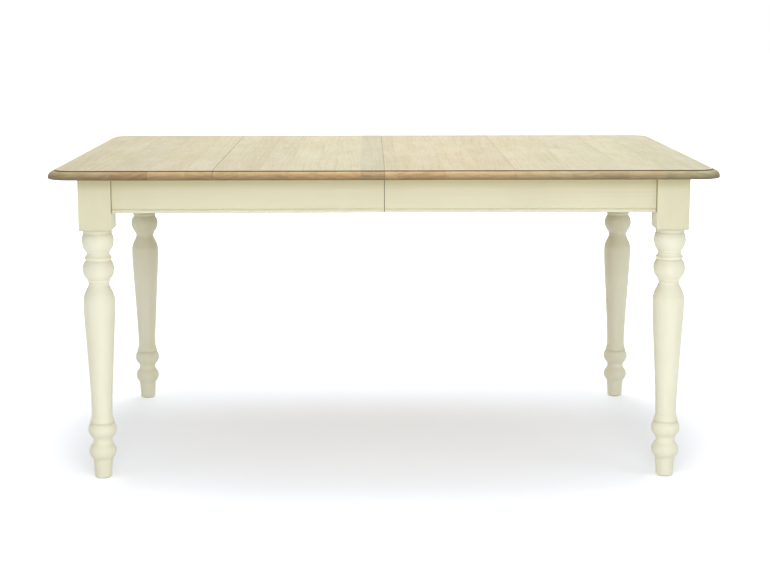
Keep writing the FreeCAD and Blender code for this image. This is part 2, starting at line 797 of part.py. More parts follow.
def leafPanel(label, height, upright):
    # local Y from the fold at 0 to the moulded edge; upright is 1 where the show face is on top
    body = newBody(label)
    top = "(topThickness / 2)"
    shoulder = f"({top} - quirkDepth)"
    ovoloBow = "(ovoloRadius * (1 - sqrt(0.5)))"
    roundBow = "(underRound * (1 - sqrt(0.5)))"
    upper = [
        ("0", top),
        (f"-({leafLength} - fieldInset)", top),
        (f"-({leafLength} - fieldInset)", shoulder),
        (f"-({leafLength} - ovoloRadius)", shoulder, ovoloBow),
        (f"-{leafLength}", f"{shoulder} - ovoloRadius"),
        (f"-{leafLength}", f"underRound - {top}", roundBow),
        (f"-({leafLength} - underRound)", f"-{top}"),
        ("0", f"-{top}"),
    ]
    flipped = [(corner[0], f"{upright} * ({corner[1]})")
               + tuple(f"{upright} * ({bow})" for bow in corner[2:]) for corner in upper]
    padOutline(body, "YZ_Plane", flipped, leafWidth, f"-{leafWidth} / 2")
    holes = [("-dowelNear", "0"), (f"-{dowelFar}", "0")]
    bore(body, "YZ_Plane", holes, "dowelRadius", "dowelBite", f"{leafWidth} / 2", forward=False)
    bore(body, "YZ_Plane", holes, "dowelRadius + dowelPlay", "bushLength", f"-{leafWidth} / 2")
    return keep(setPlace(body, "0", f"{leafLength} / 2", f"{height} + {top}"))


def seamDowels(bodyName, places):
    # dowels along X, half in their own edge and half proud of it
    body = newBody(bodyName)
    padCircles(body, "YZ_Plane", places, "dowelRadius", "dowelBite + dowelReach", "-dowelBite")
    return body


def hingePlates():
    # local origin on the hinge's axis; plates lie against the two undersides
    plates = []
    knuckle = "(foldGap / 2)"
    third = "(hingePlateLength / 3)"
    for side in (-1, 1):
        body = newBody("HingePlate")
        face = newSketch(body, "YZ_Plane", "-hingePlateLength / 2")
        drawBox(face, "-hingePlateWidth", f"{side} * (foldGap / 2)", "0",
                f"{side} * (foldGap / 2 - hingePlateThickness)")
        addFeature(body, "Pad", face, "hingePlateLength")
        # the lower plate keeps the middle third of the barrel, the upper one the two ends
        starts = [f"-{third} / 2 + knuckleGap / 2"]
        if side > 0:
            starts = ["-hingePlateLength / 2", f"{third} / 2 + knuckleGap / 2"]
        for start in starts:
            padCircles(body, "YZ_Plane", [("0", "0")], knuckle, f"{third} - knuckleGap", start)
        cutter = newSketch(body, "YZ_Plane", "-hingePlateLength / 2")
        drawCircles(cutter, [("0", "0")], "hingePinRadius")
        addFeature(body, "Pocket", cutter, "hingePlateLength", True)
        plates.append(body)
    return plates


def hingePin():
    body = newBody("HingePin")
    padCircles(body, "YZ_Plane", [("0", "0")], "hingePinRadius", "hingePlateLength",
               "-hingePlateLength / 2")
    return body


def leafPads():
    # felt strips on the bearers and bumpers between the folded panels
    felt = newBody("FeltStrip")
    strip = newSketch(felt, "XY_Plane")
    drawBox(strip, "-feltWidth / 2", f"-{leafLength} / 2", "feltWidth / 2", f"{leafLength} / 2")
    addFeature(felt, "Pad", strip, "feltThickness")
    bumper = newBody("LeafBumper")
    padCircles(bumper, "XY_Plane", [("0", "0")], "bumperRadius", "foldGap")
    return felt, bumper


# Apron catches: in the catch's frame the pivot is the origin and the apron's inner face Y = 0

def offFace(distance, inward):
    # inward is 1 where the middle of the table lies towards +Y and -1 where it lies towards -Y
    return f"{-inward} * ({distance})"


def screwPlaces(across, rise):
    return [(across, f"-{rise}"), (across, rise)]


def catchPlate(inward):
    body = newBody("CatchPlate")
    plate = newSketch(body, "XZ_Plane")
    drawBox(plate, "-catchPlateWidth / 2", "-catchPlateHeight / 2",
            "catchPlateWidth / 2", "catchPlateHeight / 2")
    addFeature(body, "Pad", plate, "catchPlateThickness", inward > 0)
    bore(body, "XZ_Plane", screwPlaces("-catchScrewAside", "catchScrewRise"),
         "screwRadius + screwPlay", "catchPlateThickness", forward=inward < 0)
    return body


def catchPivot(inward):
    body = newBody("CatchPivot")
    head = f"{hookFace} + hookThickness + catchPlay"
    padCircles(body, "XZ_Plane", [("0", "0")], "pivotRadius", f"{head} - catchPlateThickness",
               offFace("catchPlateThickness", inward), inward > 0)
    padCircles(body, "XZ_Plane", [("0", "0")], "pivotHeadRadius", "pivotHeadHeight",
               offFace(head, inward), inward > 0)
    return body


def catchHook(label, inward, y):
    # hangs down when open; its slot opens to the right and swings up round the keeper's stud
    body = newBody(label)
    near = offFace(hookFace, inward)
    bar = newSketch(body, "XZ_Plane", near)
    drawBox(bar, "-catchBar / 2", "-catchArm", "catchBar / 2", "0")
    addFeature(body, "Pad", bar, "hookThickness", inward > 0)
    for centre in (("0", "0"), ("0", "-catchArm")):
        padCircles(body, "XZ_Plane", [centre], "catchEye", "hookThickness", near, inward > 0)
    slot = newSketch(body, "XZ_Plane", near)
    half = "(keeperRadius + catchPlay)"
    drawBox(slot, "0", f"-catchArm - {half}", "catchEye", f"-catchArm + {half}")
    addFeature(body, "Pocket", slot, "hookThickness", inward < 0)
    bore(body, "XZ_Plane", [("0", "-catchArm")], half, "hookThickness", near, inward < 0)
    bore(body, "XZ_Plane", [("0", "0")], "pivotRadius + pivotPlay", "hookThickness", near, inward < 0)
    return keep(setPlace(body, "-catchInset", y, catchHeight))


def keeper(inward):
    # the stud's axis is at the origin
    body = newBody("CatchKeeper")
    plate = newSketch(body, "XZ_Plane")
    drawBox(plate, "-catchEye", "-catchPlateHeight / 2",
            "keeperWidth - catchEye", "catchPlateHeight / 2")
    addFeature(body, "Pad", plate, "catchPlateThickness", inward > 0)
    padCircles(body, "XZ_Plane", [("0", "0")], "keeperRadius", "catchPlateThickness + keeperLength",
               "0", inward > 0)
    bore(body, "XZ_Plane", screwPlaces("keeperScrewAside", "keeperScrewRise"),
         "screwRadius + screwPlay", "catchPlateThickness", forward=inward < 0)
    return body


def plateScrews(name, across, rise, inward):
    body = newBody(name)
    places = screwPlaces(across, rise)
    padCircles(body, "XZ_Plane", places, "screwRadius", "screwBite + catchPlateThickness",
               offFace("catchPlateThickness", inward), inward < 0)
    padCircles(body, "XZ_Plane", places, "screwHeadRadius", "screwHeadHeight",
               offFace("catchPlateThickness", inward), inward > 0)
    return body


# The whole table

frontSlide = f"-{slideLine}"
rearSlide = slideLine

topHalf("left_top", 0, "dowelRadius", "dowelBite")
topHalf("right_top", halfTurn, "dowelRadius + dowelPlay + bushWall", "bushLength")

corners = {
    "left": [(f"-{legX}", f"-{legY}", "0", 0), (f"-{legX}", legY, "0", -quarterTurn)],
    "right": [(legX, f"-{legY}", "0", quarterTurn), (legX, legY, "0", halfTurn)],
}
for half, places in corners.items():
    for end, (x, y, foot, turn) in zip(("front", "rear"), places):
        turnedLeg(f"{half}_{end}_leg", x, y, turn)
        cornerBlock(f"{half}_{end}_corner_block", x, y, turn)

seamEnd = "apronGap / 2"
apron("left_front_apron", longApron, f"-{legInnerX}", f"-{apronFaceY}", 0)
apron("left_rear_apron", longApron, f"-({seamEnd})", apronFaceY, halfTurn)
apron("left_end_apron", f"2 * {legInnerY}", f"-{apronFaceX}", legInnerY, -quarterTurn)
apron("right_front_apron", longApron, seamEnd, f"-{apronFaceY}", 0)
apron("right_rear_apron", longApron, legInnerX, apronFaceY, halfTurn)
apron("right_end_apron", f"2 * {legInnerY}", apronFaceX, f"-{legInnerY}", quarterTurn)

boltPair = legBolts()
nutPair = legNuts()
glide = footGlide()
bracket = angleBracket()
screwPair = bracketScrews()
screwSet = railScrews()
stop = stopPin()
for half, side, slideTurn in (("left", -1, 0), ("right", 1, halfTurn)):
    keep(group(half + "_leg_bolts", copies(boltPair, corners[half])))
    keep(group(half + "_leg_nuts", copies(nutPair, corners[half])))
    keep(group(half + "_foot_glides", copies(glide, corners[half])))
    places = bracketPlaces(side)
    keep(group(half + "_top_brackets", copies(bracket, places)))
    keep(group(half + "_bracket_screws", copies(screwPair, places)))
    slides = [("0", frontSlide, railBottom, slideTurn), ("0", rearSlide, railBottom, slideTurn)]
    keep(group(half + "_rail_screws", copies(screwSet, slides)))
    keep(group(half + "_stop_pins", copies(stop, slides)))

for name, slideY in (("front", frontSlide), ("rear", rearSlide)):
    outerRail(name + "_left_rail", slideY, 0)
    outerRail(name + "_right_rail", slideY, halfTurn)
    toothedRack(name + "_left_rack", slideY, 0)
    toothedRack(name + "_right_rack", slideY, halfTurn)
    centreRail(name + "_centre_rail", slideY, 0)
    pinion(name + "_pinion", slideY)
axlePlaces = [("0", frontSlide, railBottom), ("0", rearSlide, railBottom)]
keep(group("pinion_axles", copies(pinionAxle(), axlePlaces)))

seats = ["-bearerSpacing / 2", "bearerSpacing / 2"]
bearerFoot = f"{bearerTop} - bearerHeight"
keep(group("leaf_bearers", copies(leafBearer(), [(x, "0", bearerFoot) for x in seats])))
keep(group("bearer_screws", copies(bearerScrews(), [(x, "0", bearerFoot) for x in seats])))
leafPanel("leaf_lower_panel", leafLower, -1)
leafPanel("leaf_upper_panel", leafUpper, 1)
hingeSeats = [f"-({leafWidth} / 2 - hingeInset)", f"{leafWidth} / 2 - hingeInset"]
hingePlaces = [(x, f"{leafLength} / 2", foldHeight) for x in hingeSeats]
plates = [link for plate in hingePlates() for link in copies(plate, hingePlaces)]
keep(group("leaf_hinge_plates", plates))
keep(group("leaf_hinge_pins", copies(hingePin(), hingePlaces)))
feltStrip, bumperDisc = leafPads()
bumperPlaces = [(x, f"bumperInset - {leafLength} / 2 + fieldInset", f"{leafLower} + topThickness")
                for x in hingeSeats]
strips = copies(feltStrip, [(x, "0", bearerTop) for x in seats])
keep(group("leaf_pads", strips + copies(bumperDisc, bumperPlaces)))

tableDowels = seamDowels("TableDowels", [(line, dowelHeight) for line in dowelLines])
keep(group("alignment_dowels", copies(tableDowels, [("-seamGap / 2", "0", "0")])))
panelDowels = seamDowels("PanelDowels", [("-dowelNear", "0"), (f"-{dowelFar}", "0")])
panelPlaces = [(f"{leafWidth} / 2", f"{leafLength} / 2", f"{height} + topThickness / 2")
               for height in (leafLower, leafUpper)]
keep(group("leaf_dowels", copies(panelDowels, panelPlaces)))
bush = newBody("DowelBush")
padCircles(bush, "YZ_Plane", [("0", "0")], "dowelRadius + dowelPlay + bushWall", "bushLength")
bore(bush, "YZ_Plane", [("0", "0")], "dowelRadius + dowelPlay", "bushLength")
keep(group("dowel_bushes", copies(bush, [("seamGap / 2", line, dowelHeight) for line in dowelLines])))

plates = []
pivots = []
screws = []
keepers = []
keeperScrews = []
for name, inward in (("front", 1), ("rear", -1)):
    y = f"{-inward} * {apronInnerY}"
    catchPlace = [("-catchInset", y, catchHeight)]
    keeperPlace = [("catchArm - catchInset", y, catchHeight)]
    catchHook(name + "_catch_hook", inward, y)
    plates += copies(catchPlate(inward), catchPlace)
    pivots += copies(catchPivot(inward), catchPlace)
    screws += copies(plateScrews("CatchScrewPair", "-catchScrewAside", "catchScrewRise", inward),
                     catchPlace)
    keepers += copies(keeper(inward), keeperPlace)
    keeperScrews += copies(plateScrews("KeeperScrewPair", "keeperScrewAside", "keeperScrewRise", inward),
                           keeperPlace)
keep(group("catch_plates", plates))
keep(group("catch_pivots", pivots))
keep(group("catch_screws", screws))
keep(group("catch_keepers", keepers))
keep(group("keeper_screws", keeperScrews))

# Checks and files

doc.recompute()
for item in doc.Objects:
    if "Invalid" in item.State or "Error" in item.State:
        raise RuntimeError(item.Label + " failed: " + str(item.State))
os.makedirs("parts", exist_ok=True)
for node in nodes:
    if node.Shape.isNull() or not node.Shape.isValid():
        raise RuntimeError(node.Label + " has no valid shape")
    node.Shape.exportStep(os.path.join("parts", node.Label + ".step"))
print(len(nodes), "nodes")
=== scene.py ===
import math

import bmesh
import bpy
from mathutils import Matrix, Vector


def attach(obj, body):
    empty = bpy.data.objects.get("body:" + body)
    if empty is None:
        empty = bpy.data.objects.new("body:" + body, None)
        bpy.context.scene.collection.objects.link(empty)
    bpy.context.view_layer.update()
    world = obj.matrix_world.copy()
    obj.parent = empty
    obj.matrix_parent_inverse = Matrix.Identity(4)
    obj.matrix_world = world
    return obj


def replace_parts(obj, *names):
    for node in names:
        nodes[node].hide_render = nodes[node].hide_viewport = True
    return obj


# Extending dining table: limed oak top in two halves on cream painted turned legs

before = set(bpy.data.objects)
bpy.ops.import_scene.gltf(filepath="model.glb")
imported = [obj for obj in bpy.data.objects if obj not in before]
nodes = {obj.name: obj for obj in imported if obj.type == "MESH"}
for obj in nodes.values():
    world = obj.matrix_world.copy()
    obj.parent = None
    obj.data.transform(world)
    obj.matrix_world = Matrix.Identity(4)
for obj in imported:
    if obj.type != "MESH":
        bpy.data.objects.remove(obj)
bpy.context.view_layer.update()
print("frame loaded:", len(nodes), "nodes")


def addObject(name, data):
    made = bpy.data.objects.new(name, data)
    bpy.context.scene.collection.objects.link(made)
    return made


# Camera, from the feet, the leg blocks and the corners of the top

view = {
    "place": (-0.03874, -4.133, 1.165),
    "down": 0.1357,         # radians
    "right": 0.009978,
    "roll": -0.00076,
    "lens": 72.89,
    "sensor": 36.0,
    "shift": (0.0017, -0.0972),
}


def placeCamera(view):
    down, right, roll = view["down"], view["right"], view["roll"]
    ahead = Vector((math.sin(right) * math.cos(down), math.cos(right) * math.cos(down), -math.sin(down)))
    across = Vector((math.cos(right), -math.sin(right), 0))
    up = across.cross(ahead)
    turned = across * math.cos(roll) + up * math.sin(roll)
    upright = up * math.cos(roll) - across * math.sin(roll)
    camera = addObject("camera", bpy.data.cameras.new("camera"))
    camera.matrix_world = Matrix((turned, upright, -ahead)).transposed().to_4x4()
    camera.location = view["place"]
    camera.data.lens = view["lens"]
    camera.data.sensor_width = view["sensor"]
    camera.data.shift_x, camera.data.shift_y = view["shift"]
    bpy.context.scene.camera = camera


placeCamera(view)


# Helpers for the finishes

def rgb(red, green, blue):
    # a colour as it looks on screen, 0 to 255, made linear
    def linear(value):
        value /= 255
        return value / 12.92 if value <= 0.04045 else ((value + 0.055) / 1.055) ** 2.4
    return (linear(red), linear(green), linear(blue), 1)


class Value:
    # an output of a shader node, with which sums can be written as sums
    def __init__(self, socket):
        self.socket = socket

    def calc(self, operation, *others):
        return addNode("Math", dict(enumerate((self, *others))), operation=operation)

    def __add__(self, other):
        return self.calc("ADD", other)

    def __sub__(self, other):
        return self.calc("SUBTRACT", other)

    def __rsub__(self, other):
        return addNode("Math", {0: other, 1: self}, operation="SUBTRACT")

    def __mul__(self, other):
        return self.calc("MULTIPLY", other)

    def __gt__(self, other):
        return self.calc("GREATER_THAN", other)

    def __lt__(self, other):
        return self.calc("LESS_THAN", other)

    def __abs__(self):
        return self.calc("ABSOLUTE")

    def atLeast(self, other):
        return self.calc("MAXIMUM", other)

    def near(self, other, reach):
        return self.calc("COMPARE", other, reach)

    def spread(self, low, high, toLow=0.0, toHigh=1.0):
        # carries low to toLow and high to toHigh, and holds those beyond
        return addNode("MapRange", {"Value": self, "From Min": low, "From Max": high,
                                    "To Min": toLow, "To Max": toHigh})


def addNode(kind, inputs, output=0, tree=None, **settings):
    # adds a node to the tree of its inputs, or to the given one, and returns one of its outputs
    linked = {key: value.socket for key, value in inputs.items() if isinstance(value, Value)}
    tree = tree or next(iter(linked.values())).id_data
    node = tree.nodes.new("ShaderNode" + kind)
    for name, value in settings.items():
        setattr(node, name, value)
    for key, value in inputs.items():
        if key in linked:
            tree.links.new(linked[key], node.inputs[key])
        else:
            node.inputs[key].default_value = value
    return Value(node.outputs[output])


def outputsOf(value):
    return [Value(socket) for socket in value.socket.node.outputs]


def mixed(factor, first, second, blend="MIX"):
    return addNode("Mix", {0: factor, 6: first, 7: second}, 2, data_type="RGBA", blend_type=blend)


def joined(x, y, z):
    return addNode("CombineXYZ", {0: x, 1: y, 2: z})


def objectPlace(tree):
    return addNode("TexCoord", {}, "Object", tree)


def axesOf(place):
    return outputsOf(addNode("SeparateXYZ", {0: place}))


def noise(place, scale, detail, roughness=0.5, start=(0, 0, 0)):
    # scale is how fine the noise is along each axis
    place = addNode("Mapping", {"Vector": place, "Scale": scale, "Location": start})
    return addNode("TexNoise", {"Vector": place, "Scale": 1.0, "Detail": detail, "Roughness": roughness})


def steps(value, stops):
    # three values from a ramp of flat steps: rows of (start, colour)
    ramp = addNode("ValToRGB", {0: value})
    colours = ramp.socket.node.color_ramp
    colours.interpolation = "CONSTANT"
    colours.elements[0].position, colours.elements[0].color = stops[0]
    colours.elements.remove(colours.elements[1])
    for start, colour in stops[1:]:
        colours.elements.new(start).color = colour
    return outputsOf(addNode("SeparateColor", {0: ramp}))


def newFinish(name, stuff):
    # a material, its shader with the constants set, and the place on the object in metres
    material = bpy.data.materials.new(name)
    material.use_nodes = True
    shader = material.node_tree.nodes["Principled BSDF"]
    for key, value in stuff["shader"].items():
        shader.inputs[key].default_value = value
    return material, shader, objectPlace(material.node_tree)


def finishWith(shader, stuff, colour, height, pattern, low=0.3, high=0.7):
    # the roughness follows the pattern between low and high
    roughness = pattern.spread(low, high, *stuff["roughness"])
    strength, distance = stuff["bump"]
    bump = addNode("Bump", {"Height": height, "Strength": strength, "Distance": distance})
    for key, value in (("Base Color", colour), ("Roughness", roughness), ("Normal", bump)):
        shader.id_data.links.new(value.socket, shader.inputs[key])


def putOn(material, *endings):
    # on every node whose name ends so
    for name in nodes:
        if name.endswith(endings):
            mesh = nodes[name].data
            mesh.materials.clear()
            mesh.materials.append(material)


# Limed oak of the top: staves that run from front to back, a pale field and a browner moulding

oak = {
    "halfLength": 0.8,
    "halfWidth": 0.5,
    "cornerRadius": 0.058,
    "fieldInset": 0.018,
    "shoulder": 0.767,
    "under": 0.748,
    "field": rgb(224, 215, 179),
    "fieldDark": rgb(210, 197, 156),
    "growth": rgb(199, 180, 137),
    "liming": rgb(233, 228, 205),
    "fleck": rgb(234, 226, 198),
    "pore": rgb(172, 151, 108),
    "edge": rgb(202, 176, 131),
    "edgeDark": rgb(160, 132, 91),
    "side": rgb(184, 166, 132),
    "sideDark": rgb(150, 130, 98),
    "belly": rgb(198, 170, 126),
    "quirk": rgb(84, 62, 30),
    "rubbedAndHighlight": rgb(242, 228, 190),
    "joint": rgb(120, 98, 64),
    "shader": {"Specular IOR Level": 0.4},
    "roughness": (0.46, 0.62),
    "bump": (0.5, 0.0004),
    # how far the grain is moved from stave to stave, beyond a butt joint, and how the tone changes there
    "grainMove": (3.7, 11.3),
    "buttMove": 0.37,
    "buttTone": (0.03, 0.07),
    # how strongly each shows in the colour
    "weights": {"growth": 0.30, "liming": 0.5, "fleck": 0.5, "pore": 0.5, "arc": 0.5, "speck": 0.9,
                "ray": 0.4, "sideGrowth": 0.4, "bellyPore": 0.3, "flatBelly": 0.45, "rubbedAndHighlight": 0.55,
                "line": 0.34, "opened": 0.75, "plain": 0.45},
    # how high each stands or how deep it is cut, in bump distances
    "relief": {"fibre": 0.35, "pore": 0.6, "line": 0.5, "opened": 2.5},
    # joints that show wider than those between the other staves, and half of each line's width
    "openJoint": -0.405,
    "plainJoint": 0.308,
    "openWidth": 0.001,
    "plainWidth": 0.0007,
    "staveWidth": 0.00045,
    "buttWidth": 0.0004,
    # left edge, tone and warmth of the field, tone and warmth of the moulding, grain, butt joint
    "staves": (
        (-0.800, 0.95, -0.02, 0.91, -0.18, 0.13, 0.31),
        (-0.722, 0.96, -0.01, 0.86, -0.06, 0.71, 9.0),
        (-0.645, 0.92, 0.01, 0.78, 0.13, 0.42, -0.18),
        (-0.559, 0.95, 0.03, 1.05, 0.08, 0.93, 9.0),
        (-0.470, 1.01, -0.02, 0.92, 0.08, 0.27, 0.12),
        (-0.405, 0.97, 0.00, 0.95, 0.12, 0.58, 9.0),
        (-0.344, 0.95, 0.01, 1.02, 0.08, 0.06, 9.0),
        (-0.295, 0.99, 0.00, 0.93, 0.12, 0.83, -0.30),
        (-0.229, 1.04, -0.01, 1.00, 0.13, 0.35, 0.22),
        (-0.160, 1.02, -0.01, 1.04, 0.14, 0.66, 9.0),
        (-0.117, 1.03, -0.01, 1.05, 0.18, 0.19, 9.0),
        (-0.058, 0.92, -0.02, 0.85, 0.03, 0.97, 9.0),
        (0.000, 0.95, 0.06, 1.11, 0.06, 0.51, -0.33),
        (0.031, 1.00, 0.06, 0.96, 0.14, 0.24, 9.0),
        (0.139, 1.01, 0.07, 1.17, 0.02, 0.79, 0.15),
        (0.224, 0.98, 0.06, 1.12, 0.02, 0.09, 9.0),
        (0.308, 1.04, 0.03, 1.17, -0.08, 0.62, -0.22),
        (0.383, 1.03, -0.01, 1.14, -0.16, 0.38, 9.0),
        (0.440, 1.06, -0.02, 1.07, -0.14, 0.88, 0.05),
        (0.501, 1.05, -0.04, 0.92, -0.13, 0.46, 9.0),
        (0.569, 1.08, -0.04, 1.08, -0.17, 0.03, 0.28),
        (0.658, 1.06, -0.08, 1.00, -0.30, 0.74, 9.0),
        (0.735, 1.08, -0.10, 1.04, -0.38, 0.32, -0.10),
    ),
}
leafOak = dict(oak, halfLength=0.2497, openJoint=9.0, plainJoint=9.0, staves=(
    (-0.2497, 0.99, 0.01, 0.98, 0.05, 0.17, 9.0),
    (-0.181, 1.04, 0.00, 1.06, 0.08, 0.64, 9.0),
    (-0.098, 0.96, 0.02, 0.92, 0.10, 0.33, 0.02),
    (-0.017, 1.02, -0.01, 1.02, 0.04, 0.81, 9.0),
    (0.062, 0.97, 0.03, 0.96, 0.12, 0.48, -0.09),
    (0.139, 1.05, -0.02, 1.08, 0.02, 0.09, 9.0),
    (0.194, 1.00, 0.00, 0.94, 0.08, 0.92, 9.0),
))


def staveTable(x, oak):
    # tones, warmths, grain and butt joint of the stave at x, each read from a ramp of flat steps
    reach = oak["halfLength"]
    along = x.spread(-reach, reach)
    staves = [((row[0] + reach) / (2 * reach), row) for row in oak["staves"]]
    tone, warmth, grain = steps(along, [(start, (row[1] / 2, row[2] + 0.5, row[5], 1))
                                        for start, row in staves])
    edgeTone, edgeWarmth, butt = steps(along, [(start, (row[3] / 2, row[4] + 0.5, row[6] / 20 + 0.5, 1))
                                               for start, row in staves])
    return {
        "fieldTone": tone * 2.0,
        "fieldWarmth": warmth - 0.5,
        "edgeTone": edgeTone * 2.0,
        "edgeWarmth": edgeWarmth - 0.5,
        "grain": grain,
        "butt": butt.spread(0.0, 1.0, -10.0, 10.0),
    }


def tinted(colour, tone, warmth):
    # more red and less blue where the warmth is above 0
    half = warmth * 0.5
    return mixed(1.0, colour, joined(tone * (half + 1.0), tone, tone * (1.0 - half)), "MULTIPLY")


def limedOak(name, oak, flat=False):
    # flat is for a leaf panel, which has no field and moulding of its own height
    material, shader, place = newFinish(name, oak)
    x, y, z = axesOf(place)
    weights, relief = oak["weights"], oak["relief"]
    stave = staveTable(x, oak)
    beyond = y > stave["butt"]
    shift = stave["grain"] + beyond * oak["buttMove"]
    fieldTone = stave["fieldTone"] + beyond * (oak["buttTone"][0] - stave["grain"] * oak["buttTone"][1])
    grainX = x + shift * oak["grainMove"][0]
    grainY = y + shift * oak["grainMove"][1]
    grain = joined(grainX, grainY, z)

    # growth bands that drift along the stave, fibres, open pores, ray flecks and cloudy liming
    drift = noise(grain, (7, 0.9, 7), 1)
    bands = joined(grainX * 150.0 + drift * 14.0, grainY * 1.1, 0.0)
    growth = noise(bands, (1, 1, 1), 3).spread(0.46, 0.68)
    fibres = noise(grain, (430, 9, 430), 4, 0.62)
    pores = noise(grain, (880, 42, 880), 2).spread(0.55, 0.63) * (growth * 0.7 + 0.3)
    rays = noise(grain, (95, 34, 95), 2, start=(3, 1, 5))
    flecks = rays.spread(0.60, 0.68) * stave["grain"].spread(0.4, 0.6)
    cloud = noise(grain, (16, 6, 16), 3)

    lines = y.near(stave["butt"], oak["buttWidth"])
    for row in oak["staves"][1:]:
        lines = lines.atLeast(x.near(row[0], oak["staveWidth"]))
    lines = lines * weights["plain"] + x.near(oak["plainJoint"], oak["plainWidth"])
    opened = x.near(oak["openJoint"], oak["openWidth"])

    field = mixed(fibres.spread(0.3, 0.75), oak["field"], oak["fieldDark"])
    field = mixed(growth * weights["growth"], field, oak["growth"])
    field = mixed(cloud.spread(0.42, 0.72, 0.0, weights["liming"]), field, oak["liming"])
    field = mixed(flecks * weights["fleck"], field, oak["fleck"])
    field = mixed(pores * weights["pore"], field, oak["pore"])
    field = tinted(field, fieldTone, stave["fieldWarmth"])

    # end grain shows on the front and rear edges and long grain on the two ends
    farX = abs(x) - (oak["halfLength"] - oak["cornerRadius"])
    farY = abs(y) - (oak["halfWidth"] - oak["cornerRadius"])
    onFront = (farY - farX).spread(-0.012, 0.012)
    specks = noise(grain, (2100, 60, 1700), 2, 0.6).spread(0.44, 0.66, 0.0, weights["speck"])
    raysUp = noise(grain, (1500, 40, 130), 2)
    arcs = noise(joined(grainX * 26.0, 0.0, z * 190.0 + drift * 9.0), (1, 1, 1), 2)
    front = mixed(arcs.spread(0.38, 0.66, 0.0, weights["arc"]), oak["edge"], oak["edgeDark"])
    front = mixed(specks * arcs.spread(0.40, 0.62, 0.45, 1.0), front, oak["edgeDark"])
    front = mixed(raysUp.spread(0.56, 0.70, 0.0, weights["ray"]), front, oak["edge"])
    front = tinted(front, stave["edgeTone"], stave["edgeWarmth"])
    end = mixed(fibres.spread(0.35, 0.7), oak["side"], oak["sideDark"])
    end = mixed(growth * weights["sideGrowth"], end, oak["sideDark"])
    edge = mixed(onFront, end, front)
    if flat:
        belly = tinted(oak["belly"], fieldTone, stave["fieldWarmth"])
        colour = mixed(weights["flatBelly"], field, belly)
    else:
        under, shoulder, inset = oak["under"], oak["shoulder"], oak["fieldInset"]
        # painted shade: the moulding darkens towards its underside, as if lit from above
        shadedDownward = z.spread(under + 0.002, shoulder - 0.002, 0.34, 1.26)
        edge = mixed(1.0, edge, joined(shadedDownward, shadedDownward, shadedDownward), "MULTIPLY")
        belly = mixed(fibres.spread(0.3, 0.75), oak["belly"], oak["sideDark"])
        belly = mixed(pores * weights["bellyPore"], belly, oak["edgeDark"])
        belly = tinted(belly, fieldTone, stave["fieldWarmth"])
        edge = mixed(z < under + 0.0003, edge, belly)
        colour = mixed(z < shoulder + 0.0004, field, edge)

        # stain that stays in the quirk at the foot of the field, darkened further as painted shade of the
        # recess, and a rim painted pale beside it as a painted highlight
        outX, outY = farX.atLeast(0.0), farY.atLeast(0.0)
        corner = (outX * outX + outY * outY).calc("SQRT")
        straight = farX.atLeast(farY).calc("MINIMUM", 0.0)
        inward = oak["cornerRadius"] - (corner + straight)
        atQuirk = inward.spread(inset - 0.0035, inset - 0.0015)
        low = z.spread(shoulder + 0.0026, shoulder + 0.0014)
        colour = mixed(atQuirk * low * (z > shoulder - 0.002), colour, oak["quirk"])
        # painted highlight along the rim of the field
        onRim = inward.spread(inset + 0.0075, inset + 0.002) * (z > shoulder + 0.0027)
        colour = mixed(onRim * weights["rubbedAndHighlight"], colour, oak["rubbedAndHighlight"])
    colour = mixed(lines * weights["line"], colour, oak["joint"])
    colour = mixed(opened * weights["opened"], colour, oak["joint"])

    height = fibres * relief["fibre"] - pores * relief["pore"] - lines * relief["line"]
    height -= opened * relief["opened"]
    finishWith(shader, oak, colour, height, fibres, 0.2, 0.8)
    return material


putOn(limedOak("limedOak", oak), "_top")
putOn(limedOak("leafOak", leafOak, flat=True), "_panel")
print("oak on the top and the leaf")


# Cream paint on the legs and aprons

paint = {
    "colour": rgb(246, 245, 225),
    "shade": rgb(241, 239, 216),
    # flat faces; the lighter colour of the turnings above is a painted sheen
    "flatColour": rgb(229, 226, 198),
    "flatShade": rgb(222, 218, 190),
    "blockFoot": 0.6185,
    # darker colour in the grooves: gathered paint and painted shade
    "crease": rgb(190, 185, 156),
    # olive colour of the painted shade under the top
    "under": rgb(178, 172, 110),
    "bead": rgb(233, 231, 210),
    "beadTop": 0.6690,
    "joint": rgb(132, 120, 82),
    "shader": {"Specular IOR Level": 0.35},
    "roughness": (0.42, 0.52),
    "bump": (0.16, 0.0002),
    # (height, reach, strength) of darker lines in the grooves, where paint has gathered and shade is
    # painted, and of painted shade under the leg block
    "legCreases": ((0.1380, 0.0016, 0.6), (0.1406, 0.0016, 0.5), (0.1556, 0.0016, 0.1),
                   (0.4885, 0.0016, 0.5), (0.5425, 0.0018, 0.8), (0.5595, 0.0016, 0.5),
                   (0.6085, 0.0016, 1), (0.6110, 0.0150, 0.55), (0.6170, 0.0036, 1)),
    "apronCreases": ((0.6697, 0.0011, 1),),
    # heights between which a painted shade grows, under the top and on the rear legs, and its strength at
    # each
    "shadeUnderTop": (0.7160, 0.7340, 0.0, 0.42),
    "rearLegShade": (0.3500, 0.6300, 0.0, 0.38),
    "outerFaces": (0.411, 0.711),
    # distance from the middle at which the aprons butt against the legs
    "apronEnds": (0.655, 0.355),
}


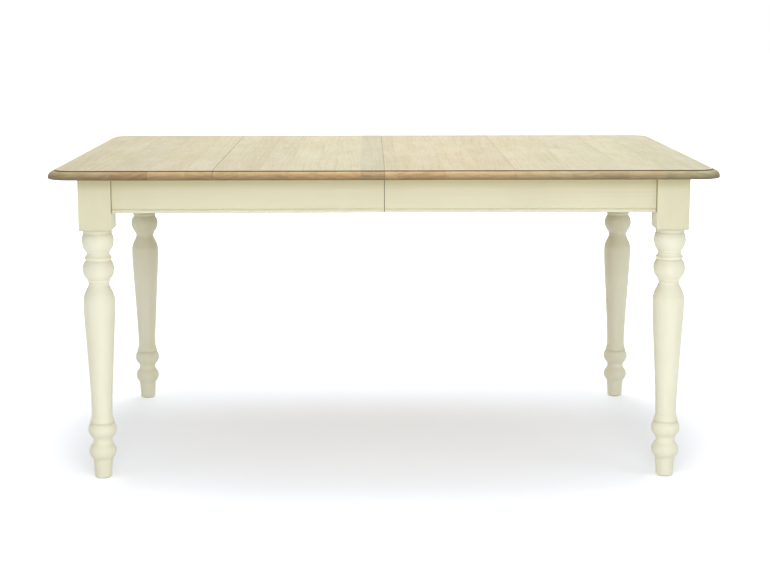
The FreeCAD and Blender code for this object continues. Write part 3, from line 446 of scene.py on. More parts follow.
def creamPaint(name, paint, brushing, along=None):
    # brushing is how the brush marks run, along the axis of an apron
    material, shader, place = newFinish(name, paint)
    x, y, z = axesOf(place)
    marks = noise(place, brushing, 4, 0.6)
    cloud = noise(place, (6, 6, 6), 3)
    peel = noise(place, (420, 420, 420), 2)
    shade = cloud.spread(0.35, 0.7, 0.0, 0.6) + marks.spread(0.35, 0.7, 0.0, 0.4)
    # painted highlight: the turnings below the block are coloured lighter than the flat block and aprons,
    # for the sheen on their curves
    colour = mixed(z > paint["blockFoot"], mixed(shade, paint["colour"], paint["shade"]),
                   mixed(shade, paint["flatColour"], paint["flatShade"]))
    # darker in the grooves, partly gathered paint and partly painted shade, and painted shade under the
    # block
    gatheredAndShaded = 0.0
    for height, reach, strength in paint["legCreases" if along is None else "apronCreases"]:
        gatheredAndShaded = abs(z - height).spread(reach, 0.0002, 0.0, strength).atLeast(gatheredAndShaded)
    gatheredAndShaded = gatheredAndShaded * cloud.spread(0.3, 0.7, 0.62, 0.78)
    if along is not None:
        # only the outer face has the bead
        outer = abs((y, x)[along]) > paint["outerFaces"][along]
        gatheredAndShaded = gatheredAndShaded * outer
        colour = mixed((z < paint["beadTop"]) * outer, colour, paint["bead"])
    colour = mixed(gatheredAndShaded, colour, paint["crease"])
    # painted shade: aprons and legs darken and turn olive just under the top, where its overhang shades
    # them
    colour = mixed(z.spread(*paint["shadeUnderTop"]), colour, paint["under"])
    if along is None:
        # painted shade: the rear legs darken and turn olive towards the top, where the top shades them
        colour = mixed((y > 0.0) * z.spread(*paint["rearLegShade"]), colour, paint["under"])
    else:
        end = paint["apronEnds"][along]
        colour = mixed(abs((x, y)[along]).spread(end - 0.0024, end - 0.0010), colour, paint["joint"])
    finishWith(shader, paint, colour, marks * 0.6 + peel * 0.25, marks)
    return material


putOn(creamPaint("creamPaintLegs", paint, (60, 60, 8)), "_leg")
putOn(creamPaint("creamPaintLong", paint, (5, 140, 140), 0), "_front_apron", "_rear_apron")
putOn(creamPaint("creamPaintEnds", paint, (140, 5, 140), 1), "_end_apron")
print("paint on the legs and aprons")


# Bare woods of the slides, bearers, dowels and corner blocks

beech = {
    "colour": rgb(222, 190, 150),
    "dark": rgb(200, 162, 120),
    "late": rgb(190, 148, 106),
    "fleck": rgb(170, 122, 82),
    "rings": 90.0,
    "flecks": 0.55,
    "knots": 0.0,
    "shader": {"Specular IOR Level": 0.3},
    "roughness": (0.58, 0.74),
    "bump": (0.5, 0.0003),
}
pine = dict(beech, colour=rgb(232, 204, 150), dark=rgb(216, 180, 122), late=rgb(190, 138, 82),
            fleck=rgb(160, 110, 66), rings=150.0, flecks=0.12, knots=0.8)


def bareWood(name, wood, turn):
    # the grain runs along Y once the place is turned about Z by so many degrees
    material, shader, place = newFinish(name, wood)
    place = addNode("Mapping", {"Vector": place, "Rotation": (0, 0, math.radians(turn))})
    x, y, z = axesOf(place)
    drift = noise(place, (6, 1.3, 6), 2)
    rings = ((x + z * 0.7) * wood["rings"] + drift * 5.0).calc("FRACT")
    late = rings.spread(0.45, 0.92) * rings.spread(1.0, 0.92)
    fibres = noise(place, (520, 10, 520), 4, 0.6)
    flecks = noise(place, (620, 150, 620), 1).spread(0.62, 0.68, 0.0, wood["flecks"])
    knots = noise(place, (14, 5, 14), 1, start=(0.4, 0.1, 0)).spread(0.72, 0.78, 0.0, wood["knots"])
    colour = mixed(fibres.spread(0.3, 0.75), wood["colour"], wood["dark"])
    colour = mixed(late * 0.5, colour, wood["late"])
    colour = mixed(flecks, colour, wood["fleck"])
    colour = mixed(knots, colour, wood["fleck"])
    finishWith(shader, wood, colour, fibres - flecks * 0.6, fibres, 0.2, 0.8)
    return material


alongX = bareWood("beechAlongX", beech, 90)
alongY = bareWood("beechAlongY", beech, 0)
pineRising = bareWood("pineRising", pine, 45)
pineFalling = bareWood("pineFalling", pine, -45)
putOn(alongX, "_rail")
print("bare woods")


# Nylon of the racks, pinions, bushes and glides

whiteNylon = {
    "colour": rgb(232, 230, 220),
    "shade": rgb(218, 215, 202),
    "scuff": rgb(190, 186, 172),
    "shader": {"Specular IOR Level": 0.5},
    "roughness": (0.38, 0.52),
    "bump": (0.25, 0.0001),
}
brownNylon = dict(whiteNylon, colour=rgb(112, 78, 52), shade=rgb(94, 64, 42), scuff=rgb(146, 118, 92))


def nylon(name, plastic):
    material, shader, place = newFinish(name, plastic)
    flow = noise(place, (60, 60, 25), 3)
    grainy = noise(place, (1500, 1500, 1500), 2)
    scratched = noise(place, (40, 900, 200), 2)
    colour = mixed(flow.spread(0.3, 0.7), plastic["colour"], plastic["shade"])
    colour = mixed(scratched.spread(0.62, 0.72, 0.0, 0.5), colour, plastic["scuff"])
    finishWith(shader, plastic, colour, grainy, flow)
    return material


putOn(nylon("whiteNylon", whiteNylon), "_rack", "_pinion", "_bushes")
putOn(nylon("brownNylon", brownNylon), "_glides")


# Plated steels of the fastenings and fittings

zinc = {
    "colour": rgb(196, 198, 200),
    "shade": rgb(168, 172, 178),
    "stain": rgb(190, 182, 150),
    "shader": {"Metallic": 1.0},
    "roughness": (0.26, 0.46),
    "bump": (0.04, 0.0001),
}
brass = dict(zinc, colour=rgb(232, 208, 148), shade=rgb(212, 184, 122), stain=rgb(160, 130, 84),
             roughness=(0.22, 0.42))


def plated(name, metal):
    material, shader, place = newFinish(name, metal)
    cloud = noise(place, (70, 70, 70), 4)
    rubbedAndHighlight = noise(place, (700, 160, 700), 2)
    pitted = noise(place, (900, 900, 900), 2)
    colour = mixed(cloud.spread(0.35, 0.68), metal["colour"], metal["shade"])
    colour = mixed(cloud.spread(0.60, 0.72, 0.0, 0.35), colour, metal["stain"])
    finishWith(shader, metal, colour, rubbedAndHighlight * 0.5 + pitted * 0.5, rubbedAndHighlight)
    return material


zincPlated = plated("zincPlatedSteel", zinc)
brassPlated = plated("brassPlatedSteel", brass)
putOn(brassPlated, "_hinge_pins")


# Felt and rubber under and between the leaf's panels, and dark felt in the seam, whose dark colour is
# painted shade

greyFelt = {
    "colour": rgb(122, 124, 126),
    "light": rgb(160, 162, 162),
    "dark": rgb(84, 86, 90),
    "shader": {"Sheen Weight": 0.4, "Sheen Roughness": 0.6},
    "roughness": (0.88, 0.98),
    "bump": (0.9, 0.0006),
}
# dark felt in the seam: its colour is painted shade
seamShadeFeltColours = dict(greyFelt, colour=rgb(58, 52, 36), light=rgb(78, 72, 54), dark=rgb(38, 34, 24))
rubber = {
    "colour": rgb(66, 66, 68),
    "bloom": rgb(96, 96, 98),
    "shader": {},
    "roughness": (0.62, 0.8),
    "bump": (0.3, 0.0001),
}


def feltOf(name, felt):
    material, shader, place = newFinish(name, felt)
    tufts = noise(place, (380, 380, 380), 5, 0.7)
    hairs = noise(place, (1800, 300, 900), 2)
    colour = mixed(tufts.spread(0.3, 0.7), felt["dark"], felt["colour"])
    colour = mixed(hairs.spread(0.58, 0.70, 0.0, 0.7), colour, felt["light"])
    finishWith(shader, felt, colour, tufts + hairs * 0.5, tufts, 0.2, 0.8)
    return material


def rubberOf(name, rubber):
    material, shader, place = newFinish(name, rubber)
    bloom = noise(place, (120, 120, 120), 3)
    matt = noise(place, (1600, 1600, 1600), 2)
    colour = mixed(bloom.spread(0.4, 0.7), rubber["colour"], rubber["bloom"])
    finishWith(shader, rubber, colour, matt, bloom)
    return material


felt = feltOf("greyFelt", greyFelt)
seamShadeFinish = feltOf("seamShadeFinish", seamShadeFeltColours)
blackRubber = rubberOf("blackRubber", rubber)
print("nylon, steels, felt and rubber")


# Helpers for the pieces

def addPiece(name, shape, body, material, sharpAngle=35):
    bmesh.ops.remove_doubles(shape, verts=shape.verts, dist=0.000001)
    bmesh.ops.recalc_face_normals(shape, faces=shape.faces)
    mesh = bpy.data.meshes.new(name)
    shape.to_mesh(mesh)
    shape.free()
    mesh.polygons.foreach_set("use_smooth", [True] * len(mesh.polygons))
    mesh.set_sharp_from_angle(angle=math.radians(sharpAngle))
    mesh.materials.append(material)
    piece = addObject(name, mesh)
    piece.modifiers.new("flatFaces", "WEIGHTED_NORMAL").keep_sharp = True
    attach(piece, body)
    return piece


def vertsOf(items):
    return [item for item in items if isinstance(item, bmesh.types.BMVert)]


def eased(shape, edges, width, segments, clamped=False):
    bmesh.ops.bevel(shape, geom=edges, offset=width, affect="EDGES", segments=segments, profile=0.5,
                    clamp_overlap=clamped, material=-1)


def facing(place, direction, spin=0.0):
    # turns local Z to direction, moves it to place in metres and spins it by so many degrees
    turn = Vector(direction).to_track_quat("Z", "Y").to_matrix().to_4x4()
    return Matrix.Translation(place) @ turn @ Matrix.Rotation(math.radians(spin), 4, "Z")


def copiesOf(model, places):
    # model is a finished bmesh, which is emptied into a new one once for each matrix
    shape = bmesh.new()
    mesh = bpy.data.meshes.new("model")
    model.to_mesh(mesh)
    model.free()
    for place in places:
        copy = mesh.copy()
        copy.transform(place)
        shape.from_mesh(copy)
        bpy.data.meshes.remove(copy)
    bpy.data.meshes.remove(mesh)
    return shape


def addSteel(name, node, body, model, places, sharpAngle=35):
    # copies of a plated fastening or fitting, in the place of a CAD node
    piece = addPiece(name, copiesOf(model, places), body, zincPlated, sharpAngle)
    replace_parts(piece, node)


def drawOut(shape, ring):
    # draws a ring of edges out, and returns its new points and edges
    made = bmesh.ops.extrude_edge_only(shape, edges=ring)["geom"]
    points = set(vertsOf(made))
    edges = [item for item in made if isinstance(item, bmesh.types.BMEdge)]
    return points, [edge for edge in edges if set(edge.verts) <= points]


def drawRing(shape, ring, rows):
    # draws a ring of edges on through (radius, height) rows about Z, and returns the last ring
    for radius, height in rows:
        points, ring = drawOut(shape, ring)
        for point in points:
            out = point.co.xy.normalized() * radius
            point.co = (out.x, out.y, height)
    return ring


def turned(shape, rows, segments):
    # a solid of revolution about Z from (radius, height) rows; rows with no radius are poles
    points = [shape.verts.new((radius, 0, height)) for radius, height in rows]
    edges = [shape.edges.new(pair) for pair in zip(points, points[1:])]
    bmesh.ops.spin(shape, geom=points + edges, cent=(0, 0, 0), axis=(0, 0, 1), angle=math.radians(360),
                   steps=segments, use_merge=True)
    bmesh.ops.remove_doubles(shape, verts=shape.verts, dist=0.000001)


def angleOf(point):
    return math.atan2(point.y, point.x)


def recessOutline(kind, reach, width, count):
    # points round a cross or a hexagon, by their angle
    arm, turns = [(reach, 0)], 6
    if kind == "cross":
        arm, turns = [(reach, -width), (reach, width), (width, width)], 4
    corners = []
    for step in range(turns):
        turn = Matrix.Rotation(math.radians(360 / turns * step), 2)
        corners += [turn @ Vector(corner) for corner in arm]
    cuts = count // len(corners)
    points = [start.lerp(end, cut / cuts) for start, end in zip(corners, corners[1:] + corners[:1])
              for cut in range(cuts)]
    return sorted(points, key=angleOf)


def headedScrew(sizes):
    # head with a recess on top of Z = 0, shank with thread ridges below
    shape = bmesh.new()
    top = sizes["headHeight"]
    rim = bmesh.ops.create_circle(shape, cap_ends=True, radius=sizes["flat"], segments=24,
                                  matrix=Matrix.Translation((0, 0, top)))["verts"]
    socket = rim[0].link_faces[0]
    bmesh.ops.inset_region(shape, faces=[socket], thickness=sizes["flat"] * sizes["rimShare"],
                           use_boundary=True)
    rimEdges = [edge for edge in shape.edges if edge.is_boundary]
    outline = recessOutline(sizes["recess"], sizes["recessReach"], sizes["recessWidth"], len(rim))
    for point, place in zip(sorted(socket.verts, key=lambda point: angleOf(point.co)), outline):
        point.co.xy = place
    bmesh.ops.inset_region(shape, faces=[socket], thickness=sizes["recessWidth"] * sizes["recessTaper"],
                           depth=-sizes["recessDepth"])
    head, shank, ease, brow = sizes["headRadius"], sizes["shankRadius"], sizes["ease"], top - sizes["dome"]
    rows = [((sizes["flat"] + head) / 2, top - sizes["dome"] * 0.3), (head - ease, brow),
            (head, brow - 2 * ease), (head, ease), (head - ease, 0), (shank, 0)]
    depth = sizes["plain"]
    while depth < sizes["length"] - 2 * sizes["pitch"]:
        rows += [(shank, -depth), (shank - sizes["thread"], -depth - sizes["pitch"] / 2)]
        depth += sizes["pitch"]
    rows += [(shank - sizes["thread"], -sizes["length"] + sizes["point"]), (sizes["tip"], -sizes["length"])]
    last = drawRing(shape, rimEdges, rows)
    bmesh.ops.holes_fill(shape, edges=last, sides=0)
    return shape


# Screws of the brackets, plates, rails and bearers

smallScrew = {"headRadius": 0.0035, "headHeight": 0.0018, "flat": 0.0026, "dome": 0.0008, "recess": "cross",
              "recessReach": 0.0019, "recessWidth": 0.00045, "recessDepth": 0.0013, "shankRadius": 0.00175,
              "plain": 0.004, "pitch": 0.0014, "thread": 0.0005, "point": 0.003, "length": 0.0158,
              "tip": 0.0003, "ease": 0.0001, "rimShare": 0.2, "recessTaper": 0.3}
railScrew = dict(smallScrew, headRadius=0.0045, headHeight=0.003, flat=0.0034, dome=0.0012,
                 recessReach=0.0026, recessWidth=0.0006, recessDepth=0.002, shankRadius=0.00225,
                 plain=0.03, pitch=0.0018, thread=0.0006, point=0.004, length=0.0488)
bearerScrew = dict(railScrew, shankRadius=0.0025, plain=0.022, length=0.0418)

halves = (("left", -1), ("right", 1))
screwLines = {
    "under": 0.748,
    "apronFace": (0.701, 0.401),    # |X| of the end aprons' inner faces, |Y| of the others'
    "bracketX": (0.505, 0.060),
    "bracketY": 0.160,
    "bracketHole": 0.012,
    "plate": 0.002,
    "railX": (0.558, 0.312, 0.072),
    "slideY": 0.300,
    "railLine": 0.0294,
    "railSeat": 0.714,
    "bearerX": 0.150,
    "bearerSeat": 0.680,
    "catchX": -0.040,
    "catchHeights": (0.717, 0.739),
    "keeperX": 0.034,
    "keeperHeights": (0.719, 0.737),
}


def bracketSeats(side, lines):
    # (foot on the apron's inner face under the top, way into the table, way along the apron)
    faceX, faceY = lines["apronFace"]
    seats = [((side * x, -way * faceY, lines["under"]), (0, way, 0)) for x in lines["bracketX"]
             for way in (1, -1)]
    seats += [((side * faceX, y, lines["under"]), (-side, 0, 0)) for y in
              (-lines["bracketY"], lines["bracketY"])]
    return seats


def bracketScrewPlaces(side, lines):
    places = []
    for count, (foot, way) in enumerate(bracketSeats(side, lines)):
        foot, way = Vector(foot), Vector(way)
        down, plate = lines["bracketHole"], lines["plate"]
        places.append(facing(foot + way * plate - Vector((0, 0, down)), way, 23 * count + 10))
        places.append(facing(foot + way * down - Vector((0, 0, plate)), (0, 0, -1), 41 * count))
    return places


def railScrewPlaces(side, lines):
    return [facing((side * x, slide * lines["slideY"] + side * lines["railLine"], lines["railSeat"]),
                   (0, 0, -1), 57 * count) for slide in (-1, 1) for count, x in enumerate(lines["railX"])]


def plateScrewPlaces(plate, lines):
    seat = lines["apronFace"][1] - lines["plate"]
    return [facing((lines[plate + "X"], side * seat, height), (0, -side, 0), 30 + 70 * count)
            for side in (-1, 1) for count, height in enumerate(lines[plate + "Heights"])]


for half, side in halves:
    addSteel(half + "_small_screws", half + "_bracket_screws", half + "_half", headedScrew(smallScrew),
             bracketScrewPlaces(side, screwLines))
    addSteel(half + "_slide_screws", half + "_rail_screws", half + "_half", headedScrew(railScrew),
             railScrewPlaces(side, screwLines))
addSteel("hook_plate_screws", "catch_screws", "left_half", headedScrew(smallScrew),
         plateScrewPlaces("catch", screwLines))
addSteel("keeper_plate_screws", "keeper_screws", "right_half", headedScrew(smallScrew),
         plateScrewPlaces("keeper", screwLines))
addSteel("bearer_fixing_screws", "bearer_screws", "centre_carriage", headedScrew(bearerScrew),
         [facing((endX * screwLines["bearerX"], endY * screwLines["slideY"], screwLines["bearerSeat"]),
                 (0, 0, -1), 30 * endX + 27 * endY) for endX in (-1, 1) for endY in (-1, 1)])
print("screws")


# Angle brackets with rounded ends and a rolled bend

bracket = {"arm": 0.020, "thick": 0.002, "length": 0.030, "bend": 0.0016, "cornerRound": 0.005}


def angleBracket(sizes):
    # local X along the apron, Y into the table, Z up, with the apron's foot at the origin
    shape = bmesh.new()
    arm, thick, half = sizes["arm"], sizes["thick"], sizes["length"] / 2
    outline = [(0, -arm), (thick, -arm), (thick, -thick), (arm, -thick), (arm, 0), (0, 0)]
    section = shape.faces.new([shape.verts.new((-half, out, up)) for out, up in outline])
    made = bmesh.ops.extrude_face_region(shape, geom=[section])["geom"]
    bmesh.ops.translate(shape, vec=(2 * half, 0, 0), verts=vertsOf(made))
    bmesh.ops.recalc_face_normals(shape, faces=shape.faces)

    def runsAlong(edge, axis):
        way = edge.verts[1].co - edge.verts[0].co
        return abs(way[axis]) > 0.9 * way.length

    bends = [edge for edge in shape.edges if runsAlong(edge, 0) and all(
        point.co.y < thick * 1.5 and point.co.z > -thick * 1.5 for point in edge.verts)]
    eased(shape, bends, sizes["bend"], 4)
    ends = [edge for edge in shape.edges if edge.calc_length() < thick * 1.01 and (
        (runsAlong(edge, 1) and edge.verts[0].co.z < -arm * 0.99)
        or (runsAlong(edge, 2) and edge.verts[0].co.y > arm * 0.99))]
    eased(shape, ends, sizes["cornerRound"], 5)
    return shape


def standing(foot, way):
    # turns local Y to way, keeps Z up and moves the origin to foot
    turn = Matrix((Vector(way).cross((0, 0, 1)), way, (0, 0, 1))).transposed().to_4x4()
    return Matrix.Translation(foot) @ turn


for half, side in halves:
    addSteel(half + "_angle_brackets", half + "_top_brackets", half + "_half", angleBracket(bracket),
             [standing(foot, way) for foot, way in bracketSeats(side, screwLines)])
print("brackets")


# Leg bolts with rolled threads, and flanged nuts

legBolt = {"legX": 0.694, "legY": 0.394, "heights": (0.686, 0.722), "start": 0.00515, "end": 0.111425,
           "radius": 0.004, "chamfer": 0.001, "firstThread": 0.0016, "pitch": 0.00125, "thread": 0.0006,
           "seat": 0.100125, "flangeRadius": 0.009, "flangeRim": 0.0008, "flangeTop": 0.0077,
           "flange": 0.0018, "nutRadius": 0.0075, "nut": 0.0065, "nutEase": 0.0008, "nutShrink": 0.93,
           "boreEase": 0.0004}


def threadedRod(sizes):
    shape = bmesh.new()
    radius, pitch = sizes["radius"], sizes["pitch"]
    length = sizes["end"] - sizes["start"]
    chamfer, height = sizes["chamfer"], sizes["firstThread"]
    rows = [(0, 0), (radius - chamfer, 0), (radius, chamfer)]
    while height < length - 2 * chamfer:
        rows += [(radius, height), (radius - sizes["thread"], height + pitch / 2)]
        height += pitch
    rows += [(radius, length - chamfer), (radius - chamfer, length), (0, length)]
    turned(shape, rows, 16)
    return shape


def flangedNut(sizes):
    # hexagon with eased corners on a coned flange that bears on Z = 0
    shape = bmesh.new()
    bore, flange, high = sizes["radius"], sizes["flange"], sizes["flange"] + sizes["nut"]
    rim = sizes["flangeRadius"]
    ring = bmesh.ops.create_circle(shape, radius=bore, segments=24)["verts"]
    edges = list({edge for point in ring for edge in point.link_edges})
    edges = drawRing(shape, edges, [(rim - 0.0002, 0), (rim, 0.0003), (rim, sizes["flangeRim"]),
                                    (sizes["flangeTop"], flange)])
    for level, shrink in ((flange, 1.0), (high - sizes["nutEase"], 1.0), (high, sizes["nutShrink"])):
        points, edges = drawOut(shape, edges)
        for point in points:
            angle = angleOf(point.co)
            inSide = (angle % math.radians(60)) - math.radians(30)
            reach = sizes["nutRadius"] * math.cos(math.radians(30)) / math.cos(inSide) * shrink
            point.co = (reach * math.cos(angle), reach * math.sin(angle), level)
    drawRing(shape, edges, [(bore + sizes["boreEase"], high), (bore, high - 0.0005), (bore, 0)])
    return shape


def boltPlaces(side, sizes, distance):
    places = []
    for end in (-1, 1):
        inward = Vector((-side, -end, 0)).normalized()
        for height in sizes["heights"]:
            foot = Vector((side * sizes["legX"], end * sizes["legY"], height)) + inward * distance
            places.append(facing(foot, inward, 35 * (side + 2 * end) + 900 * height))
    return places


for half, side in halves:
    addSteel(half + "_hanger_bolts", half + "_leg_bolts", half + "_half", threadedRod(legBolt),
             boltPlaces(side, legBolt, legBolt["start"]), 50)
    addSteel(half + "_flange_nuts", half + "_leg_nuts", half + "_half", flangedNut(legBolt),
             boltPlaces(side, legBolt, legBolt["seat"]), 30)
print("bolts and nuts")


# Shoulder screws of the pinions, stop pins and dowels

pin = {
    "slideY": 0.300,
    "axleFoot": 0.691,
    "stopX": 0.270,
    "stopLine": 0.0164,
    "stopFoot": 0.702,
    "stopRadius": 0.003,
    "stopHeight": 0.044,
}
axle = dict(railScrew, headRadius=0.007, headHeight=0.003, flat=0.0058, dome=0.0007, recess="hexagon",
            recessReach=0.0029, recessDepth=0.0018, shankRadius=0.004, plain=0.012, pitch=0.0015,
            thread=0.0004, point=0.001, length=0.038)

addSteel("shoulder_screws", "pinion_axles", "centre_carriage", headedScrew(axle),
         [facing((0, y, pin["axleFoot"] + axle["headHeight"]), (0, 0, -1), 12)
          for y in (-pin["slideY"], pin["slideY"])])


def stopPin(sizes):
    shape = bmesh.new()
    radius, height = sizes["stopRadius"], sizes["stopHeight"]
    foot = [(0, 0), (radius - 0.0006, 0), (radius - 0.0001, 0.0004), (radius, 0.001)]
    turned(shape, foot + [(out, height - up) for out, up in reversed(foot)], 20)
    return shape


for half, side in halves:
    lines = [slide * pin["slideY"] + side * pin["stopLine"] for slide in (-1, 1)]
    addSteel(half + "_limit_pins", half + "_stop_pins", half + "_half", stopPin(pin),
             [Matrix.Translation((-side * pin["stopX"], y, pin["stopFoot"])) for y in lines])

dowel = {
    "radius": 0.004,
    "length": 0.032,
    "flutes": 12,
    "fluteDepth": 0.0002,
    "taper": 0.0018,
    # (X of the inner end, Y of each, Z of each) of the top's and of the leaf's dowels
    "top": (-0.0203, (-0.390, -0.130, 0.130, 0.390), (0.759,)),
    "leaf": (0.2297, (-0.140, 0.120), (0.7025, 0.7305)),
}


def flutedDowel(sizes):
    shape = bmesh.new()
    radius, length, taper = sizes["radius"], sizes["length"], sizes["taper"]
    foot = [(0, 0), (radius * 0.62, 0), (radius * 0.86, taper * 0.35), (radius, taper)]
    turned(shape, foot + [(radius, length * 0.5)] + [(out, length - up) for out, up in reversed(foot)],
           sizes["flutes"] * 4)
    for point in shape.verts:
        turn = math.degrees(angleOf(point.co)) % (360 / sizes["flutes"])
        if point.co.xy.length > radius * 0.8 and turn < 1:
            point.co.xy *= 1 - sizes["fluteDepth"] / radius
    return shape


def dowelSet(place, turn):
    # turn is how far the flutes are turned from one dowel to the next, in degrees for each metre
    x, across, heights = place
    return copiesOf(flutedDowel(dowel), [facing((x, y, z), (1, 0, 0), turn * y)
                                         for y in across for z in heights])


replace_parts(addPiece("fluted_top_dowels", dowelSet(dowel["top"], 40), "left_half", alongX),
            "alignment_dowels")
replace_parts(addPiece("fluted_leaf_dowels", dowelSet(dowel["leaf"], 90), "centre_carriage", alongX),
            "leaf_dowels")
print("axles, pins and dowels")


# Felt strips under the leaf and rubber bumpers between its panels

pad = {
    "stripX": 0.150,
    "stripWidth": 0.020,
    "stripLength": 0.500,
    "stripLow": 0.690,
    "stripHeight": 0.0015,
    "waver": 0.018,         # in strip widths
    "stripEase": 0.0003,
    "bumperX": 0.1397,
    "bumperY": -0.187,
    "bumperLow": 0.7135,
    "bumperRadius": 0.008,
    "bumperHeight": 0.006,
}


def feltStrip(sizes):
    # strip with cut edges that waver a little
    shape = bmesh.new()
    bmesh.ops.create_grid(shape, x_segments=4, y_segments=60, size=0.5)
    for point in shape.verts:
        across, along = point.co.x, point.co.y
        if abs(across) > 0.49:
            waver = 1 + math.sin(along * 71) * math.sin(along * 23 + across)
            across -= math.copysign(sizes["waver"] * waver, across)
        point.co = (across * sizes["stripWidth"], along * sizes["stripLength"], sizes["stripLow"])
    made = bmesh.ops.extrude_face_region(shape, geom=list(shape.faces))["geom"]
    bmesh.ops.translate(shape, vec=(0, 0, sizes["stripHeight"]), verts=vertsOf(made))
    bmesh.ops.recalc_face_normals(shape, faces=shape.faces)
    rims = [edge for edge in shape.edges if len(edge.link_faces) == 2 and edge.calc_face_angle() > 1]
    eased(shape, rims, sizes["stripEase"], 2)
    return shape


def rubberBumper(sizes):
    # turned button, dished on the side that meets the other panel
    shape = bmesh.new()
    radius, height = sizes["bumperRadius"], sizes["bumperHeight"]
    foot = [(0, 0), (radius - 0.0004, 0), (radius, 0.0004), (radius, 0.0022), (radius * 0.93, 0.0030)]
    # (share of the radius, depth below the top)
    crown = ((0.90, 0.0010), (0.84, 0.0002), (0.74, 0), (0.45, 0.0002), (0.30, 0.0012), (0.26, 0.0030),
             (0, 0.0030))
    turned(shape, foot + [(radius * share, height - depth) for share, depth in crown], 32)
    return shape


strips = copiesOf(feltStrip(pad), [Matrix.Translation((side * pad["stripX"], 0, 0)) for side in (-1, 1)])
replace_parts(addPiece("felt_strips", strips, "centre_carriage", felt), "leaf_pads")
bumpers = copiesOf(rubberBumper(pad), [Matrix.Translation((side * pad["bumperX"], pad["bumperY"],
                                                           pad["bumperLow"])) for side in (-1, 1)])
addPiece("rubber_bumpers", bumpers, "centre_carriage", blackRubber)

joint = {
    "apronX": (-0.00075, 0.00070),
    "apronY": (0.4035, 0.4215),
    "apronZ": (0.6607, 0.7475),
    # strip along the seam of the top, in lengths that leave the dowels free
    "topX": (-0.00030, 0.00024),
    "topZ": (0.7500, 0.7655),
    "topLengths": ((-0.4800, -0.3965), (-0.3835, -0.1365), (-0.1235, 0.1235), (0.1365, 0.3835),
                   (0.3965, 0.4800)),
    "ease": 0.0001,
}


def seamShadePads(sizes):
    # dark pads between the halves, so that they close without a knock and no light shows through; their
    # dark colour is painted shade of the seam
    boxes = [(sizes["apronX"], [side * y for y in sizes["apronY"]], sizes["apronZ"]) for side in (-1, 1)]
    boxes += [(sizes["topX"], length, sizes["topZ"]) for length in sizes["topLengths"]]
    shape = bmesh.new()
    for box in boxes:
        corners = bmesh.ops.create_cube(shape, size=1)["verts"]
        for point in corners:
            point.co = [span[coordinate > 0] for span, coordinate in zip(box, point.co)]
    bmesh.ops.recalc_face_normals(shape, faces=shape.faces)
    rims = [edge for edge in shape.edges if edge.verts[0].co.x > 0 and edge.verts[1].co.x > 0]
    eased(shape, rims, sizes["ease"], 2)
    long = [edge for edge in shape.edges if edge.calc_length() > 0.01]
    bmesh.ops.subdivide_edges(shape, edges=long, cuts=5, use_grid_fill=True)
    return shape


addPiece("seam_shade_felts", seamShadePads(joint), "left_half", seamShadeFinish)
print("felts and bumpers")


# Fittings with their edges eased: catch plates, keepers, hooks, pivots, hinges, bearers and blocks

def easedCopy(node, width):
    shape = bmesh.new()
    shape.from_mesh(nodes[node].data)
    bmesh.ops.remove_doubles(shape, verts=shape.verts, dist=0.000002)
    bmesh.ops.dissolve_limit(shape, angle_limit=math.radians(0.5), verts=shape.verts, edges=shape.edges)
    rims = [edge for edge in shape.edges if len(edge.link_faces) == 2
            and edge.calc_face_angle() > math.radians(30)]
    eased(shape, rims, width, 2, clamped=True)
    return shape


def addEased(name, node, body, finish, width):
    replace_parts(addPiece(name, easedCopy(node, width), body, finish, 40), node)


for name, node, body in (
        ("hook_plates", "catch_plates", "left_half"),
        ("hook_pivots", "catch_pivots", "left_half"),
        ("stud_plates", "catch_keepers", "right_half"),
        ("front_swing_hook", "front_catch_hook", "front_catch_hook"),
        ("rear_swing_hook", "rear_catch_hook", "rear_catch_hook")):
    addEased(name, node, body, brassPlated, 0.0004)
addEased("butt_hinges", "leaf_hinge_plates", "centre_carriage", brassPlated, 0.0003)
addEased("eased_bearers", "leaf_bearers", "centre_carriage", alongY, 0.0008)
for half, side in halves:
    for end, way in (("front", -1), ("rear", 1)):
        corner = half + "_" + end
        addEased(corner + "_glue_block", corner + "_corner_block", half + "_half",
                 pineFalling if side == way else pineRising, 0.0008)
print("eased fittings")


# Stage: pale floor, white surroundings and soft lamps

stage = {
    "floor": 30.0,
    "floorColour": (0.90, 0.90, 0.90, 1),
    "shadowColour": (0.79, 0.835, 0.945, 1),
    # from here outwards the floor glows, until its shadow is gone
    "glowReach": (0.75, 2.1),
    # rays that start this near below the floor are those under the feet
    "underFeet": 0.004,
    "white": (1, 1, 1, 1),
    "ambient": 0.42,
    "ambientColour": (1, 0.99, 0.91, 1),
    "level": -0.0005,
    "lamps": (
        # name, place, aim, size, watts
        ("key", (0.1, -2.5, 1.3), (0, 0, 0.4), 2.0, 11.5),
        ("low", (0.1, -2.3, 0.25), (0, 0, 0.12), 1.6, 9.2),
        ("right", (6.0, -4.0, 1.2), (0, 0, 0.4), 4.0, 72),
        ("left", (-6.0, -4.0, 1.2), (0, 0, 0.4), 4.0, 42),
        ("overhead", (0, 0.6, 3.4), (0, 0, 0), 2.6, 38),
        ("rear", (0, 5.0, 1.8), (0, 0, 0.4), 3.5, 14),
        ("leftFoot", (-0.60, -0.74, 0.10), (-0.70, -0.40, 0.06), 0.3, 0.085),
        ("rightFoot", (0.60, -0.74, 0.10), (0.70, -0.40, 0.06), 0.3, 0.076),
    ),
}


def whiteWhereSeen(tree):
    camera, glossy, through = [addNode("LightPath", {}, "Is " + kind + " Ray", tree)
                               for kind in ("Camera", "Glossy", "Transmission")]
    return camera.atLeast(glossy).atLeast(through)


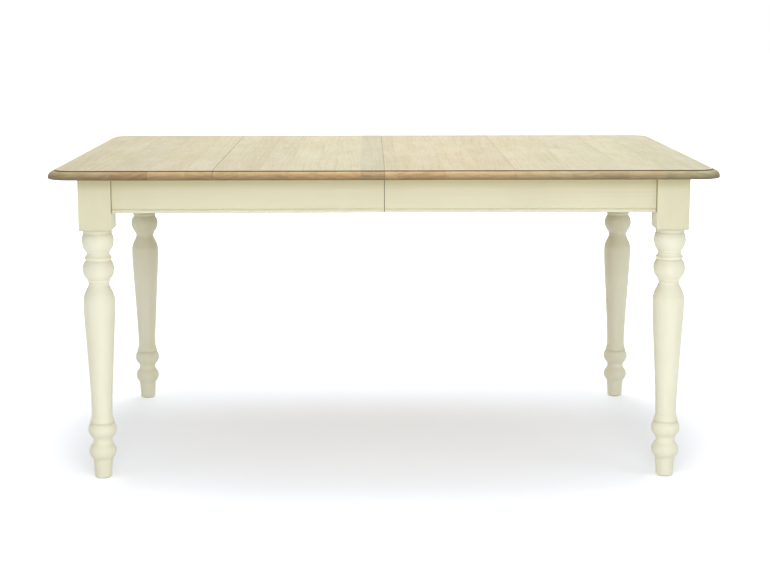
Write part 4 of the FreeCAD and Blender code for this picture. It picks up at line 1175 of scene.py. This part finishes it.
def addSurroundings(stage):
    world = bpy.data.worlds.new("studio")
    world.use_nodes = True
    bpy.context.scene.world = world
    tree = world.node_tree
    background = tree.nodes["Background"]
    seen = whiteWhereSeen(tree)
    colour = mixed(seen, stage["ambientColour"], stage["white"])
    strength = seen.spread(0.0, 1.0, stage["ambient"], 1.0)
    tree.links.new(colour.socket, background.inputs["Color"])
    tree.links.new(strength.socket, background.inputs["Strength"])


def floorFinish(stage):
    # for the camera the floor is white but for the table's shadow, which the doubled diffuse keeps,
    # and from below it is clear
    material = bpy.data.materials.new("floor")
    material.use_nodes = True
    tree = material.node_tree
    tree.nodes.clear()
    plain = addNode("BsdfDiffuse", {"Color": stage["floorColour"]}, tree=tree)
    lit = addNode("BsdfDiffuse", {"Color": stage["shadowColour"]}, tree=tree)
    far = addNode("VectorMath", {0: objectPlace(tree)}, "Value", operation="LENGTH")
    glow = addNode("Emission", {"Strength": far.spread(*stage["glowReach"])})
    seen = addNode("AddShader", {0: addNode("AddShader", {0: lit, 1: lit}), 1: glow})
    choice = addNode("MixShader", {0: whiteWhereSeen(tree), 1: plain, 2: seen})
    near = addNode("LightPath", {}, "Ray Length", tree) < stage["underFeet"]
    below = addNode("NewGeometry", {}, "Backfacing", tree).atLeast(near)
    clear = addNode("BsdfTransparent", {}, tree=tree)
    whole = addNode("MixShader", {0: below, 1: choice, 2: clear})
    end = tree.nodes.new("ShaderNodeOutputMaterial")
    end.is_active_output = True
    tree.links.new(whole.socket, end.inputs["Surface"])
    return material


def setStage(stage):
    addSurroundings(stage)
    mesh = bpy.data.meshes.new("floor")
    shape = bmesh.new()
    bmesh.ops.create_grid(shape, x_segments=1, y_segments=1, size=stage["floor"],
                          matrix=Matrix.Translation((0, 0, stage["level"])))
    shape.to_mesh(mesh)
    shape.free()
    mesh.materials.append(floorFinish(stage))
    addObject("floor", mesh)
    for name, place, aim, size, watts in stage["lamps"]:
        light = bpy.data.lights.new(name, "AREA")
        light.shape = "DISK"
        light.size = size
        light.energy = watts
        lamp = addObject(name, light)
        lamp.visible_camera = False
        lamp.location = place
        lamp.rotation_euler = (Vector(aim) - Vector(place)).to_track_quat("-Z", "Y").to_euler()
    bpy.context.scene.view_settings.view_transform = "Standard"


setStage(stage)
print("stage set")
